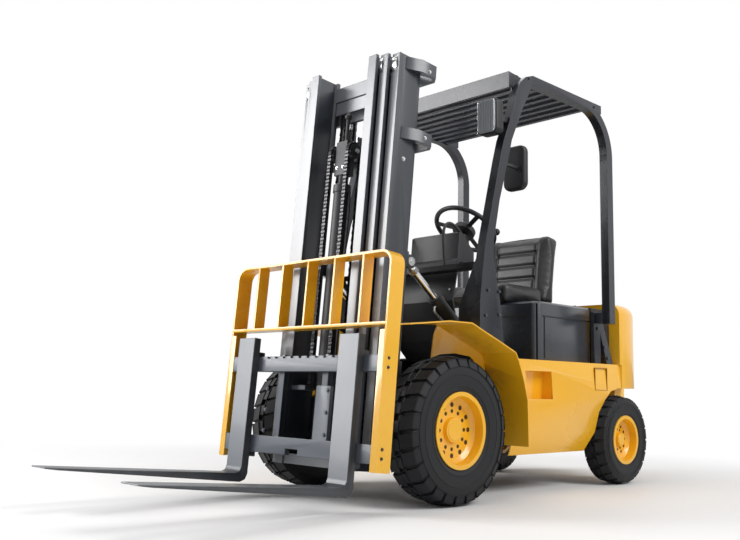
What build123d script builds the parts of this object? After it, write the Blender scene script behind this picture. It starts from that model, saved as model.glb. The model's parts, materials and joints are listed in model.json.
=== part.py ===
from build123d import *
import math
import os

os.makedirs("parts", exist_ok=True)

# A three-stage counterbalance forklift. Millimetres, +X forward to the forks, +Y to the
# truck's left, +Z up. Everything is drawn about the front axle, on the ground below it,
# and moved at the end so that the origin lies under the middle of the whole truck.

# Running gear
WHEELBASE = 1580
FRONT_TYRE_R = 345
FRONT_TYRE_W = 200
FRONT_WHEEL_Y = 490
FRONT_RIM_R = 165
REAR_TYRE_R = 258
REAR_TYRE_W = 150
REAR_WHEEL_Y = 460
REAR_RIM_R = 128
KINGPIN_Y = 360
KINGPIN_R = 18
AXLE_TUBE_R = 70
RUNNING_FIT = 0.06
SEAT_GAP = 0.3
CLEAR = 6

# Chassis
FRAME_Y = 345
FRAME_T = 20
DECK_Z = 700
PANEL_Y = 500
PANEL_T = 6
PANEL_FRONT_X = -520
PANEL_BOTTOM_Z = 203
PANEL_REAR_X = -1600
FENDER_Y = 592
FENDER_T = 6
FENDER_FRONT_X = 368
ARCH_TOP_Z = 560
TAIL_X = -2030
WEIGHT_TOP_Z = 1070
WEIGHT_FRONT_X = -1580
WEIGHT_CORNER_R = 385

# Driver's place
HOOD_FRONT_X = -830
HOOD_REAR_X = -1362
HOOD_TOP_Z = 1030
HOOD_Y = 430
HOOD_T = 12
HOOD_HINGE_R = 10
SEAT_W = 480
SEAT_FRONT_X = -800
CUSHION_TOP_Z = 1150
BACKREST_TOP_Z = 1480
WHEEL_CENTRE_X = -725
WHEEL_CENTRE_Z = 1465
WHEEL_RIM_R = 180
WHEEL_GRIP_R = 14
WHEEL_TILT = 35
COLUMN_R = 28

# Overhead guard
GUARD_Y = 550
GUARD_TUBE_Y = 50
GUARD_TOP_Z = 2222
GUARD_RAIL_H = 50
GUARD_FRONT_X = -595
GUARD_REAR_X = -1287
POST_REAR_X = -1405
POST_W = 62
POST_BEND_R = 300
ROOF_BARS = 9
ROOF_BAR_W = 28
ROOF_BAR_H = 46

# Mast, drawn upright in its own frame and leaned back at rest
MAST_X = 293
MAST_Z = 350
MAST_LEAN = 4.8
MAST_TOP = 1830
RAIL_DEPTH = 156
RAIL_FLANGE = 20
RAIL_WEB = 14
STAGE_STEP = 27
OUTER_FRONT_U = 74
OUTER_Y = (305, 356)
MIDDLE_Y = (250, 300)
INNER_Y = (190, 245)
OUTER_FOOT = -155
INNER_FOOT = -200
ROLLER_INSET = 55
LIFT_CYLINDER_Y = 218
LIFT_CYLINDER_U = -130
LIFT_BARREL_R = 30
LIFT_ROD_R = 20
FREE_CYLINDER_U = 60
FREE_BARREL_R = 42
FREE_ROD_R = 26
STAGE_CHAIN_Y = 160
CARRIAGE_CHAIN_Y = 65
CHAIN_W = 26
CHAIN_T = 14
SHEAVE_R = 45

# Carriage, backrest and forks, in the mast's frame
CARRIAGE_FACE_U = 235
CARRIAGE_BAR_T = 30
UPPER_BAR_V = (235, 310)
LOWER_BAR_V = (-157, -75)
BACKREST_HALF_W = 570
FACE_BAR_W = 40
CARRIAGE_HALF_W = BACKREST_HALF_W - FACE_BAR_W
BACKREST_TOP_V = 780
BACKREST_BAR_T = 12
BACKREST_DEPTH = 85
BACKREST_FOOT_V = -190
FORK_Y = 378
FORK_W = 128
FORK_T = 40
FORK_LENGTH = 988
FORK_TOP_V = 400
FORK_HEEL_V = -305
FORK_TIP_RISE = 28

# Tilt cylinders
TILT_PIVOT_X = -450
TILT_PIVOT_Z = 745
TILT_EYE_X = 90
TILT_EYE_Z = 1150
TILT_Y = 300
TILT_BARREL_R = 34
TILT_BARREL_END = 400
TILT_ROD_R = 18
TILT_EYE_R = 36
TILT_EYE_W = 30
TILT_PIN_R = 15
TILT_PIN_PLAY = 4


def block(x0, x1, y0, y1, z0, z1):
    return Pos((x0 + x1) / 2, (y0 + y1) / 2, (z0 + z1) / 2) * Box(x1 - x0, y1 - y0, z1 - z0)


def bar_y(x, z, radius, y0, y1):
    return Pos(x, (y0 + y1) / 2, z) * Rot(90, 0, 0) * Cylinder(radius, y1 - y0)


def bar_z(x, y, radius, z0, z1):
    return Pos(x, y, (z0 + z1) / 2) * Cylinder(radius, z1 - z0)


def slab_y(outline, y0, y1):
    """A side-view outline of (x, z) points, thick from y0 to y1."""
    face = make_face(Polyline(*[(x, 0, z) for x, z in outline], close=True))
    return extrude(Pos(0, y0, 0) * face, amount=y1 - y0, dir=(0, 1, 0))


def spun_y(x, z, outline):
    """An outline of (y, radius) points, turned about a cross axis."""
    face = make_face(Polyline(*[(x + r, y, z) for y, r in outline], close=True))
    return revolve(face, Axis((x, 0, z), (0, 1, 0)))


def flipped(shape):
    return mirror(shape, about=Plane.XZ)


def pair(shape):
    return [shape, flipped(shape)]


def solids_of(shapes):
    found = []
    for shape in shapes if isinstance(shapes, (list, tuple)) else [shapes]:
        found += shape.solids()
    return found


# Where the mast stands and where the front axle lies in the finished truck
MAST = Pos(MAST_X, 0, MAST_Z) * Rot(0, -MAST_LEAN, 0)
FORK_TIP = MAST * Pos(CARRIAGE_FACE_U + SEAT_GAP + FORK_T + FORK_LENGTH, 0, FORK_HEEL_V + FORK_TIP_RISE)
FRONT_AXLE_X = -(FORK_TIP.position.X + TAIL_X) / 2
REAR_AXLE_X = -WHEELBASE


def save(name, shapes, frame=Location()):
    kept = [Pos(FRONT_AXLE_X, 0, 0) * frame * solid for solid in solids_of(shapes)]
    whole = kept[0] if len(kept) == 1 else Compound(children=kept)
    whole.label = name
    export_step(whole, f"parts/{name}.step")


# Tyres: a full round shoulder either side of a slightly crowned tread
RIM_T = 7
RIM_FLANGE = 14
BEAD = 0.86


def tyre(x, y, radius, width, rim_r):
    half = width / 2
    outline = [
        (y - half * BEAD, rim_r + SEAT_GAP), (y - half * BEAD, rim_r + RIM_FLANGE + 1),
        (y - half * 0.97, rim_r + 0.22 * (radius - rim_r)),
        (y - half, rim_r + 0.5 * (radius - rim_r)), (y - half * 0.95, rim_r + 0.82 * (radius - rim_r)),
        (y - half * 0.74, rim_r + 0.975 * (radius - rim_r)), (y, radius),
        (y + half * 0.74, rim_r + 0.975 * (radius - rim_r)),
        (y + half * 0.95, rim_r + 0.82 * (radius - rim_r)), (y + half, rim_r + 0.5 * (radius - rim_r)),
        (y + half * 0.97, rim_r + 0.22 * (radius - rim_r)),
        (y + half * BEAD, rim_r + RIM_FLANGE + 1), (y + half * BEAD, rim_r + SEAT_GAP),
    ]
    return spun_y(x, radius, outline)


LUG_GAP_W = 17
LUG_GAP_DEEP = 15


def with_lugs(shape, x, y, radius, width, count):
    """Cut slanted gaps in both shoulders, half a step apart, that leave the tread's lugs."""
    gaps = []
    for end in (-1, 1):
        for turn in range(count):
            angle = (turn + (0.5 if end > 0 else 0)) * 360 / count
            gap = Pos(0, end * 0.36 * width, radius - LUG_GAP_DEEP / 2 + 4) * Rot(0, 0, end * 18)
            gap *= Box(LUG_GAP_W, 0.42 * width, LUG_GAP_DEEP + 8)
            gaps.append(Pos(x, y, radius) * Rot(0, angle, 0) * gap)
    return shape - gaps


FRONT_LUGS = 26
REAR_LUGS = 22
FRONT_TYRE = tyre(0, FRONT_WHEEL_Y, FRONT_TYRE_R, FRONT_TYRE_W, FRONT_RIM_R)
FRONT_TYRE = with_lugs(FRONT_TYRE, 0, FRONT_WHEEL_Y, FRONT_TYRE_R, FRONT_TYRE_W, FRONT_LUGS)
REAR_TYRE = tyre(REAR_AXLE_X, REAR_WHEEL_Y, REAR_TYRE_R, REAR_TYRE_W, REAR_RIM_R)
REAR_TYRE = with_lugs(REAR_TYRE, REAR_AXLE_X, REAR_WHEEL_Y, REAR_TYRE_R, REAR_TYRE_W, REAR_LUGS)

# Rims: a barrel with a flange each side and a dished disc bolted to the hub
FRONT_HUB_R = 62
REAR_HUB_R = 42
SPINDLE_R = 30
REAR_SPINDLE_R = 22


def rim(x, y, z, rim_r, width, disc_y, hub_r, bore_r, hub_out):
    half = width / 2 * BEAD + SEAT_GAP
    inside = rim_r - RIM_T
    outline = [
        (y - half - RIM_T, inside), (y - half - RIM_T, rim_r + RIM_FLANGE), (y - half, rim_r + RIM_FLANGE),
        (y - half, rim_r), (y + half, rim_r),
        (y + half, rim_r + RIM_FLANGE), (y + half + RIM_T, rim_r + RIM_FLANGE),
        (y + half + RIM_T, inside), (disc_y + 22, inside - 4), (disc_y + 6, inside - 26),
        (disc_y + 6, hub_r), (disc_y + hub_out, hub_r - 6), (disc_y + hub_out, bore_r),
        (disc_y - 8, bore_r), (disc_y - 8, inside - 30), (disc_y + 8, inside),
    ]
    return spun_y(x, z, outline)


FRONT_DISC_Y = FRONT_WHEEL_Y + 26
REAR_DISC_Y = REAR_WHEEL_Y + 6
FRONT_RIM = rim(0, FRONT_WHEEL_Y, FRONT_TYRE_R, FRONT_RIM_R, FRONT_TYRE_W, FRONT_DISC_Y,
                FRONT_HUB_R, SPINDLE_R + RUNNING_FIT, 24)
REAR_RIM = rim(REAR_AXLE_X, REAR_WHEEL_Y, REAR_TYRE_R, REAR_RIM_R, REAR_TYRE_W, REAR_DISC_Y,
               REAR_HUB_R, REAR_SPINDLE_R + RUNNING_FIT, 34)
FRONT_HOLES = 12
for ring_r, hole_r in ((118, 9), (88, 7)):
    for turn in range(FRONT_HOLES):
        angle = math.radians(turn * 360 / FRONT_HOLES)
        FRONT_RIM -= bar_y(ring_r * math.cos(angle), FRONT_TYRE_R + ring_r * math.sin(angle),
                           hole_r, FRONT_DISC_Y - 20, FRONT_DISC_Y + 20)

for side, turned in (("left", lambda s: s), ("right", flipped)):
    save(f"front_tyre_{side}", turned(FRONT_TYRE))
    save(f"front_rim_{side}", turned(FRONT_RIM))
    save(f"rear_tyre_{side}", turned(REAR_TYRE))
    save(f"rear_rim_{side}", turned(REAR_RIM))

# Drive axle: housing tubes, the differential's swell and a spindle at each end
AXLE_END_Y = FRONT_WHEEL_Y - FRONT_TYRE_W / 2 - 4
FRONT_SPINDLE_END = FRONT_DISC_Y + 20
drive_axle = bar_y(0, FRONT_TYRE_R, AXLE_TUBE_R, -AXLE_END_Y, AXLE_END_Y)
drive_axle += spun_y(0, FRONT_TYRE_R, [(-130, 0), (-130, 80), (-90, 130), (-40, 150), (40, 150),
                                       (90, 130), (130, 80), (130, 0)])
drive_axle += bar_y(0, FRONT_TYRE_R, SPINDLE_R, -FRONT_SPINDLE_END, FRONT_SPINDLE_END)
drive_axle += block(-330, -100, -95, 95, FRONT_TYRE_R - 95, FRONT_TYRE_R + 110)
save("drive_axle", drive_axle)

# Steer axle: a beam that narrows to a yoke at each kingpin
BEAM_HALF_H = 70
YOKE_T = 28
BEAM_Z = REAR_TYRE_R
beam = block(REAR_AXLE_X - 50, REAR_AXLE_X + 50, -KINGPIN_Y + 100, KINGPIN_Y - 100,
             BEAM_Z - BEAM_HALF_H, BEAM_Z + BEAM_HALF_H)
for z0 in (BEAM_Z - BEAM_HALF_H, BEAM_Z + BEAM_HALF_H - YOKE_T):
    for end in (-1, 1):
        lug = Pos(REAR_AXLE_X, end * KINGPIN_Y, 0) * Cylinder(30, YOKE_T)
        lug += Pos(REAR_AXLE_X, end * (KINGPIN_Y - 55), 0) * Box(46, 110, YOKE_T)
        beam += Pos(0, 0, z0 + YOKE_T / 2) * lug
for end in (-1, 1):
    beam += bar_z(REAR_AXLE_X, end * KINGPIN_Y, KINGPIN_R, BEAM_Z - BEAM_HALF_H, BEAM_Z + BEAM_HALF_H)
beam += block(REAR_AXLE_X - 60, REAR_AXLE_X + 60, -75, 75, BEAM_Z, ARCH_TOP_Z)
beam += bar_y(REAR_AXLE_X - 82, BEAM_Z, 34, -150, 150)
beam += bar_y(REAR_AXLE_X - 82, BEAM_Z, 16, -205, 205)
beam += block(REAR_AXLE_X - 60, REAR_AXLE_X - 45, -120, 120, BEAM_Z - 30, BEAM_Z + 30)
save("steer_axle", beam)

KNUCKLE_HALF_H = BEAM_HALF_H - YOKE_T - SEAT_GAP
REAR_SPINDLE_END = REAR_DISC_Y + 30


def steer_knuckle(end):
    """An upright eye on the kingpin with the wheel's spindle and the steering arm."""
    def across(y0, y1):
        return sorted((end * y0, end * y1))

    eye = bar_z(REAR_AXLE_X, end * KINGPIN_Y, 34, BEAM_Z - KNUCKLE_HALF_H, BEAM_Z + KNUCKLE_HALF_H)
    boss = bar_y(REAR_AXLE_X, BEAM_Z, 32, *across(KINGPIN_Y, REAR_DISC_Y - 12))
    spindle = bar_y(REAR_AXLE_X, BEAM_Z, REAR_SPINDLE_R, *across(REAR_DISC_Y - 20, REAR_SPINDLE_END))
    arm = block(REAR_AXLE_X - 95, REAR_AXLE_X, *across(KINGPIN_Y - 12, KINGPIN_Y + 12),
                BEAM_Z - 14, BEAM_Z + 14)
    pin_hole = bar_z(REAR_AXLE_X, end * KINGPIN_Y, KINGPIN_R + RUNNING_FIT, BEAM_Z - 90, BEAM_Z + 90)
    return eye + boss + spindle + arm - pin_hole


save("steer_knuckle_left", steer_knuckle(1))
save("steer_knuckle_right", steer_knuckle(-1))

# Frame: two upright side plates, tied across, that carry both axles and the deck
FRAME_OUT = FRAME_Y + FRAME_T
frame_side = slab_y([(75, FRONT_TYRE_R - 90), (75, FRONT_TYRE_R + 90), (-120, 640), (-380, DECK_Z),
                     (-400, TILT_PIVOT_Z + 35), (-490, TILT_PIVOT_Z + 35), (-510, DECK_Z),
                     (PANEL_REAR_X, DECK_Z), (PANEL_REAR_X, ARCH_TOP_Z + 20), (-1290, ARCH_TOP_Z),
                     (-1220, 300), (-1200, 240), (-420, 240), (-200, 240)], FRAME_Y, FRAME_OUT)
frame_side -= bar_y(0, FRONT_TYRE_R, AXLE_TUBE_R, FRAME_Y - 5, FRAME_OUT + 5)
ENGINE_X = (-1200, -560)
TIE_Z = (260, 420)
ties = block(ENGINE_X[0] - 40, ENGINE_X[0], -FRAME_Y, FRAME_Y, *TIE_Z)
ties += block(ENGINE_X[1], ENGINE_X[1] + 40, -FRAME_Y, FRAME_Y, *TIE_Z)
ties += block(PANEL_REAR_X, PANEL_REAR_X + 60, -FRAME_Y, FRAME_Y, ARCH_TOP_Z + 20, DECK_Z)
whole_frame = frame_side + flipped(frame_side) + ties
for end in (-1, 1):
    inner = end * (TILT_Y - TILT_EYE_W / 2 - 6)
    outer = end * FRAME_Y
    whole_frame += bar_y(TILT_PIVOT_X, TILT_PIVOT_Z, TILT_PIN_R, min(inner, outer), max(inner, outer))
save("frame", whole_frame)

# Floor plate in front of the seat, with the sloped toe board
floor_plate = block(HOOD_FRONT_X - 10, -500, -FRAME_Y, FRAME_Y, DECK_Z - 8, DECK_Z)
floor_plate += slab_y([(-500, DECK_Z - 8), (-500, DECK_Z), (-400, 800), (-393, 793)], -240, 240)
save("floor_plate", floor_plate)

# Side panels: creased sheet with a step pocket, cut away behind for the steered wheel
PANEL_CREASE_Z = 492
PANEL_LOWER_Z = 310
panel_section = [(PANEL_Y - 14, DECK_Z), (PANEL_Y, PANEL_CREASE_Z), (PANEL_Y - 4, PANEL_LOWER_Z),
                 (PANEL_Y - 38, PANEL_BOTTOM_Z), (PANEL_Y - 38 - PANEL_T, PANEL_BOTTOM_Z),
                 (PANEL_Y - 4 - PANEL_T, PANEL_LOWER_Z), (PANEL_Y - PANEL_T, PANEL_CREASE_Z),
                 (PANEL_Y - 14 - PANEL_T, DECK_Z - PANEL_T), (FRAME_OUT, DECK_Z - PANEL_T),
                 (FRAME_OUT, DECK_Z)]
panel_face = make_face(Polyline(*[(0, y, z) for y, z in panel_section], close=True))
panel = extrude(Pos(PANEL_FRONT_X, 0, 0) * panel_face, amount=PANEL_REAR_X - PANEL_FRONT_X, dir=(1, 0, 0))
ARCH = [(-1222, 190), (-1226, 204), (-1290, 302), (-1338, 421), (-1404, 490), (-1475, 540),
        (-1560, ARCH_TOP_Z), (-1700, ARCH_TOP_Z), (-1700, 190)]
panel -= slab_y(ARCH, 380, 560)
STEP_X = (-870, -632)
STEP_Z = (492, 640)
STEP_DEPTH = 70
pocket = block(STEP_X[0], STEP_X[1], PANEL_Y - STEP_DEPTH, PANEL_Y + 20, STEP_Z[0], STEP_Z[1])
tray = block(STEP_X[0] - PANEL_T, STEP_X[1] + PANEL_T, PANEL_Y - STEP_DEPTH - PANEL_T, PANEL_Y - 10,
             STEP_Z[0] - PANEL_T, STEP_Z[1] + PANEL_T)
panel = panel + tray - pocket
save("side_panels", pair(panel))

# Front fenders: a folded skin over the tyre and down behind it, with an inner wall
FENDER_TOP = [(FENDER_FRONT_X, 820), (255, 832), (100, 850), (-65, 851), (-125, 829), (-280, 774),
              (-410, 726), (-437, 686), (-480, 588), (-512, 488), (PANEL_FRONT_X, 255)]


def fender_top_at(x):
    for (x1, z1), (x0, z0) in zip(FENDER_TOP, FENDER_TOP[1:]):
        if x0 <= x <= x1:
            return z0 + (z1 - z0) * (x - x0) / (x1 - x0)


fender_line = offset(Polyline(*[(x, 0, z) for x, z in FENDER_TOP]), FENDER_T, side=Side.RIGHT)
fender = extrude(Pos(0, FRAME_OUT, 0) * make_face(fender_line), amount=FENDER_Y - FRAME_OUT, dir=(0, 1, 0))
under = [(x, z - FENDER_T) for x, z in FENDER_TOP if -450 < x < 0]
fender_wall = slab_y(under + [(-443, 620), (-319, 702), (-200, 714), (-86, 704), (-20, 684), (-40, 800)],
                     FRAME_OUT, FRAME_OUT + FENDER_T)
save("front_fenders", pair(fender + fender_wall))

# Counterweight: a casting with round rear corners, arched over the steered wheels
weight_plan = Pos((TAIL_X + WEIGHT_FRONT_X) / 2, 0, 0) * Rectangle(WEIGHT_FRONT_X - TAIL_X, 2 * PANEL_Y)
weight = extrude(Pos(0, 0, ARCH_TOP_Z) * weight_plan, amount=WEIGHT_TOP_Z - ARCH_TOP_Z)
weight = fillet(weight.edges().filter_by(Axis.Z).group_by(Axis.X)[0], WEIGHT_CORNER_R)
weight_rim = weight.faces().sort_by(Axis.Z)[-1].edges()
weight = fillet(weight_rim.filter_by(lambda e: e.center().X < WEIGHT_FRONT_X - 5), 70)
weight -= block(PANEL_REAR_X, WEIGHT_FRONT_X + 5, -PANEL_Y - 5, PANEL_Y + 5, ARCH_TOP_Z - 5, DECK_Z)
weight += block(TAIL_X, TAIL_X + 120, -270, 270, 330, ARCH_TOP_Z)
TOW_SLOT_Z = (430, 500)
TOW_PIN_R = 14
weight -= block(TAIL_X - 5, TAIL_X + 75, -60, 60, *TOW_SLOT_Z)
weight -= bar_z(TAIL_X + 38, 0, TOW_PIN_R + SEAT_GAP, TOW_SLOT_Z[0] - 30, ARCH_TOP_Z + 10)
weight += block(WEIGHT_FRONT_X - 60, WEIGHT_FRONT_X - 30, -75, 75, ARCH_TOP_Z, ARCH_TOP_Z + 10)
REAR_LAMP = (WEIGHT_TOP_Z - 180, WEIGHT_TOP_Z - 120)
REAR_LAMP_DEEP = 24
for end in (-1, 1):
    weight -= block(TAIL_X - 5, TAIL_X + REAR_LAMP_DEEP, *sorted((end * 50, end * 112)), *REAR_LAMP)
save("counterweight", weight)
rear_lamp = block(TAIL_X + 4, TAIL_X + REAR_LAMP_DEEP, 50 + SEAT_GAP, 112 - SEAT_GAP,
                  REAR_LAMP[0] + SEAT_GAP, REAR_LAMP[1] - SEAT_GAP)
save("rear_lamps", pair(rear_lamp))
tow_pin = bar_z(TAIL_X + 38, 0, TOW_PIN_R, TOW_SLOT_Z[0] - 28, TOW_SLOT_Z[1] + 40)
save("tow_pin", tow_pin)

# Hood over the engine, open below and behind, hinged at its rear top edge
hood = block(HOOD_REAR_X, HOOD_FRONT_X, -HOOD_Y, HOOD_Y, DECK_Z + SEAT_GAP, HOOD_TOP_Z)
hood = fillet(hood.edges().filter_by(Axis.Z).group_by(Axis.X)[-1], 50)
hood_rim = hood.faces().sort_by(Axis.Z)[-1].edges()
hood = chamfer(hood_rim.filter_by(lambda e: e.center().X > HOOD_REAR_X + 5), 12)
hood -= block(HOOD_REAR_X - 5, HOOD_FRONT_X - HOOD_T, -HOOD_Y + HOOD_T, HOOD_Y - HOOD_T,
              DECK_Z - 5, HOOD_TOP_Z - HOOD_T)
HINGE_X = HOOD_REAR_X - 5
HINGE_Z = HOOD_TOP_Z + HOOD_HINGE_R
for y0 in (-320, 260):
    hood += bar_y(HINGE_X, HINGE_Z, HOOD_HINGE_R, y0, y0 + 60)
    hood += block(HINGE_X, HINGE_X + 40, y0, y0 + 60, HOOD_TOP_Z - 2, HOOD_TOP_Z + 6)
    hood -= bar_y(HINGE_X, HINGE_Z, 5 + RUNNING_FIT, y0 - 1, y0 + 61)
save("hood", hood)

# Radiator cover between the hood and the counterweight, with the hood's hinge pins
cover = block(WEIGHT_FRONT_X, HOOD_REAR_X - 12, -HOOD_Y, HOOD_Y, DECK_Z, HOOD_TOP_Z)
cover -= block(WEIGHT_FRONT_X - 5, HOOD_REAR_X - 20, -HOOD_Y + HOOD_T, HOOD_Y - HOOD_T, DECK_Z - 5,
               HOOD_TOP_Z - HOOD_T)
for y0 in (-320, 260):
    for ear in (y0 - 14, y0 + 62):
        cover += bar_y(HINGE_X, HINGE_Z, HOOD_HINGE_R, ear, ear + 12)
        cover += block(HINGE_X - 40, HINGE_X, ear, ear + 12, HOOD_TOP_Z - 2, HOOD_TOP_Z + 6)
    cover += bar_y(HINGE_X, HINGE_Z, 5, y0 - 14, y0 + 74)
save("radiator_cover", cover)

# Engine and gearbox as one heavy block inside
save("engine_block", block(*ENGINE_X, -200, 200, 300, 560) + block(ENGINE_X[0], -900, -180, 180, 560, 860))

# Seat: cushion on the hood and a leaned backrest
CUSHION_REAR_X = SEAT_FRONT_X - 375
CUSHION_T = CUSHION_TOP_Z - HOOD_TOP_Z
cushion = block(CUSHION_REAR_X, SEAT_FRONT_X, -SEAT_W / 2, SEAT_W / 2, HOOD_TOP_Z, CUSHION_TOP_Z)
cushion = fillet(cushion.edges().filter_by(Axis.Z).group_by(Axis.X)[-1], 60)
cushion = fillet(cushion.faces().sort_by(Axis.Z)[-1].edges(), 0.2 * CUSHION_T)
save("seat_cushion", cushion)
back_x = CUSHION_REAR_X - SEAT_GAP
backrest = slab_y([(back_x, HOOD_TOP_Z), (back_x - 4, CUSHION_TOP_Z - 30), (back_x - 46, BACKREST_TOP_Z - 30),
                   (back_x - 82, BACKREST_TOP_Z), (back_x - 150, BACKREST_TOP_Z - 12),
                   (back_x - 184, BACKREST_TOP_Z - 60), (back_x - 70, HOOD_TOP_Z)], -SEAT_W / 2, SEAT_W / 2)
backrest = fillet(backrest.edges().filter_by(lambda e: e.center().Z > HOOD_TOP_Z + 60
                                             and abs(e.center().Y) > SEAT_W / 2 - 1), 18)
save("seat_backrest", backrest)

# Overhead guard: leaned front pillars on the fenders, bent rear posts and side rails
RAIL_IN = GUARD_Y - GUARD_TUBE_Y / 2
RAIL_OUT = GUARD_Y + GUARD_TUBE_Y / 2
PILLAR_FOOT_X = (-335, -143)
GUSSET_TOP_Z = 1180
foot_line = [PILLAR_FOOT_X[0]] + [x for x, z in FENDER_TOP[::-1] if PILLAR_FOOT_X[0] < x < PILLAR_FOOT_X[1]]
foot_line = [(x, fender_top_at(x)) for x in foot_line + [PILLAR_FOOT_X[1]]]
pillar_rear = [(GUARD_FRONT_X, GUARD_TOP_Z - GUARD_RAIL_H), (-497, GUARD_TOP_Z - 211),
               (-404, GUARD_TOP_Z - 399), (-372, GUARD_TOP_Z - 510), (-300, 1488), (-253, 1276),
               (-250, GUSSET_TOP_Z), (-300, 984)]
pillar_front = [(-143, 964), (-173, GUSSET_TOP_Z), (-189, 1267), (-244, 1478), (-302, GUARD_TOP_Z - 527),
                (-336, GUARD_TOP_Z - 414), (-425, GUARD_TOP_Z - 211), (-448, GUARD_TOP_Z - 120),
                (-480, GUARD_TOP_Z - 66), (-530, GUARD_TOP_Z - 24), (GUARD_FRONT_X, GUARD_TOP_Z)]
pillar_side = pillar_rear + foot_line + pillar_front
pillar = slab_y(pillar_side, RAIL_IN, RAIL_OUT)

# The pillar's foot flares inwards to a broad gusset
GUSSET_IN = RAIL_OUT - 135
flare = make_face(Polyline((0, RAIL_OUT, GUSSET_TOP_Z), (0, RAIL_IN, GUSSET_TOP_Z), (0, GUSSET_IN, 930),
                           (0, GUSSET_IN, DECK_Z), (0, RAIL_OUT, DECK_Z), close=True))
gusset = slab_y(pillar_side, GUSSET_IN - 5, RAIL_OUT) & extrude(flare, amount=600, dir=(-1, 0, 0))
pillar += gusset
rail_top = GUARD_TOP_Z
post_out = POST_REAR_X
post_in = POST_REAR_X + POST_W
outer_run = FilletPolyline((GUARD_FRONT_X, 0, rail_top), (post_out, 0, rail_top), (post_out, 0, 930),
                           radius=POST_BEND_R)
inner_run = FilletPolyline((post_in, 0, 930), (post_in, 0, rail_top - GUARD_RAIL_H),
                           (GUARD_FRONT_X, 0, rail_top - GUARD_RAIL_H), radius=POST_BEND_R - POST_W)
ends = [Line(outer_run @ 1, inner_run @ 0), Line(inner_run @ 1, outer_run @ 0)]
hoop_face = make_face([outer_run, inner_run] + ends)
hoop = extrude(Pos(0, RAIL_IN, 0) * hoop_face, amount=GUARD_TUBE_Y, dir=(0, 1, 0))
hoop += block(GUARD_REAR_X, GUARD_FRONT_X, RAIL_IN, RAIL_OUT, rail_top - GUARD_RAIL_H, rail_top)
foot = slab_y([(-1330, 1000), (-1405, 1000), (-1545, DECK_Z), (-1475, DECK_Z), (-1405, 880), (-1405, DECK_Z),
               (-1340, DECK_Z)], 455, 475)
foot += block(-1400, -1335, 475, RAIL_IN + 5, 935, 995)
guard_side = hoop + pillar + foot
VISOR_X = (-441, -427)
VISOR_Z = (GUARD_TOP_Z - 98, GUARD_TOP_Z - 10)
guard_side += slab_y([(VISOR_X[0], VISOR_Z[0]), (VISOR_X[1], VISOR_Z[0]), (VISOR_X[1], VISOR_Z[1]),
                      (GUARD_FRONT_X + 37, VISOR_Z[1] - 13), (-500, GUARD_TOP_Z - 70)], RAIL_IN, RAIL_IN + 14)
visor = block(*VISOR_X, -RAIL_IN, RAIL_IN, *VISOR_Z)
save("overhead_guard", guard_side + visor + flipped(guard_side))

# Roof bars across the side rails
first_bar = GUARD_FRONT_X + 75
last_bar = GUARD_REAR_X + 125
bar_step = (last_bar - first_bar) / (ROOF_BARS - 1)
bars = []
for count in range(ROOF_BARS):
    x = first_bar + count * bar_step
    bars.append(block(x - ROOF_BAR_W / 2, x + ROOF_BAR_W / 2, -RAIL_IN, RAIL_IN,
                      GUARD_TOP_Z - GUARD_RAIL_H, GUARD_TOP_Z - GUARD_RAIL_H + ROOF_BAR_H))
save("roof_bars", bars)

# Work lamps on the pillars
LAMP_Y = 517
LAMP_Z = GUARD_TOP_Z - 292
LAMP_W = 124
LAMP_H = 190
LAMP_FRONT_X = -270
lamp = block(LAMP_FRONT_X - 80, LAMP_FRONT_X, LAMP_Y - LAMP_W / 2, LAMP_Y + LAMP_W / 2,
             LAMP_Z - LAMP_H / 2, LAMP_Z + LAMP_H / 2)
lamp = fillet(lamp.edges().filter_by(Axis.X), 30)
lamp = fillet(lamp.faces().sort_by(Axis.X)[0].edges(), 36)
lamp += block(LAMP_FRONT_X - 140, LAMP_FRONT_X - 80, LAMP_Y + 10, LAMP_Y + 45, LAMP_Z - 20, LAMP_Z + 20)
save("lamp_housings", pair(lamp - pillar))
lens = block(LAMP_FRONT_X, LAMP_FRONT_X + 8, LAMP_Y - LAMP_W / 2 + 8, LAMP_Y + LAMP_W / 2 - 8,
             LAMP_Z - LAMP_H / 2 + 8, LAMP_Z + LAMP_H / 2 - 8)
save("lamp_lenses", pair(fillet(lens.edges().filter_by(Axis.X), 20)))

# Mirrors behind the pillars, facing back
MIRROR_X = -525
MIRROR_Y = 520
MIRROR_Z = GUARD_TOP_Z - 522
MIRROR_W = 140
MIRROR_H = 240
shell = block(MIRROR_X, MIRROR_X + 36, MIRROR_Y - MIRROR_W / 2, MIRROR_Y + MIRROR_W / 2,
              MIRROR_Z - MIRROR_H / 2, MIRROR_Z + MIRROR_H / 2)
shell = fillet(shell.edges().filter_by(Axis.X), 40)
shell = fillet(shell.faces().sort_by(Axis.X)[-1].edges(), 16)
arm = block(MIRROR_X + 30, -360, MIRROR_Y + 16, MIRROR_Y + 32, MIRROR_Z - 12, MIRROR_Z + 4)
save("mirrors", pair(shell + arm - pillar))
glass = block(MIRROR_X - 4, MIRROR_X, MIRROR_Y - MIRROR_W / 2 + 8, MIRROR_Y + MIRROR_W / 2 - 8,
              MIRROR_Z - MIRROR_H / 2 + 8, MIRROR_Z + MIRROR_H / 2 - 8)
save("mirror_glass", pair(fillet(glass.edges().filter_by(Axis.X), 32)))

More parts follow.
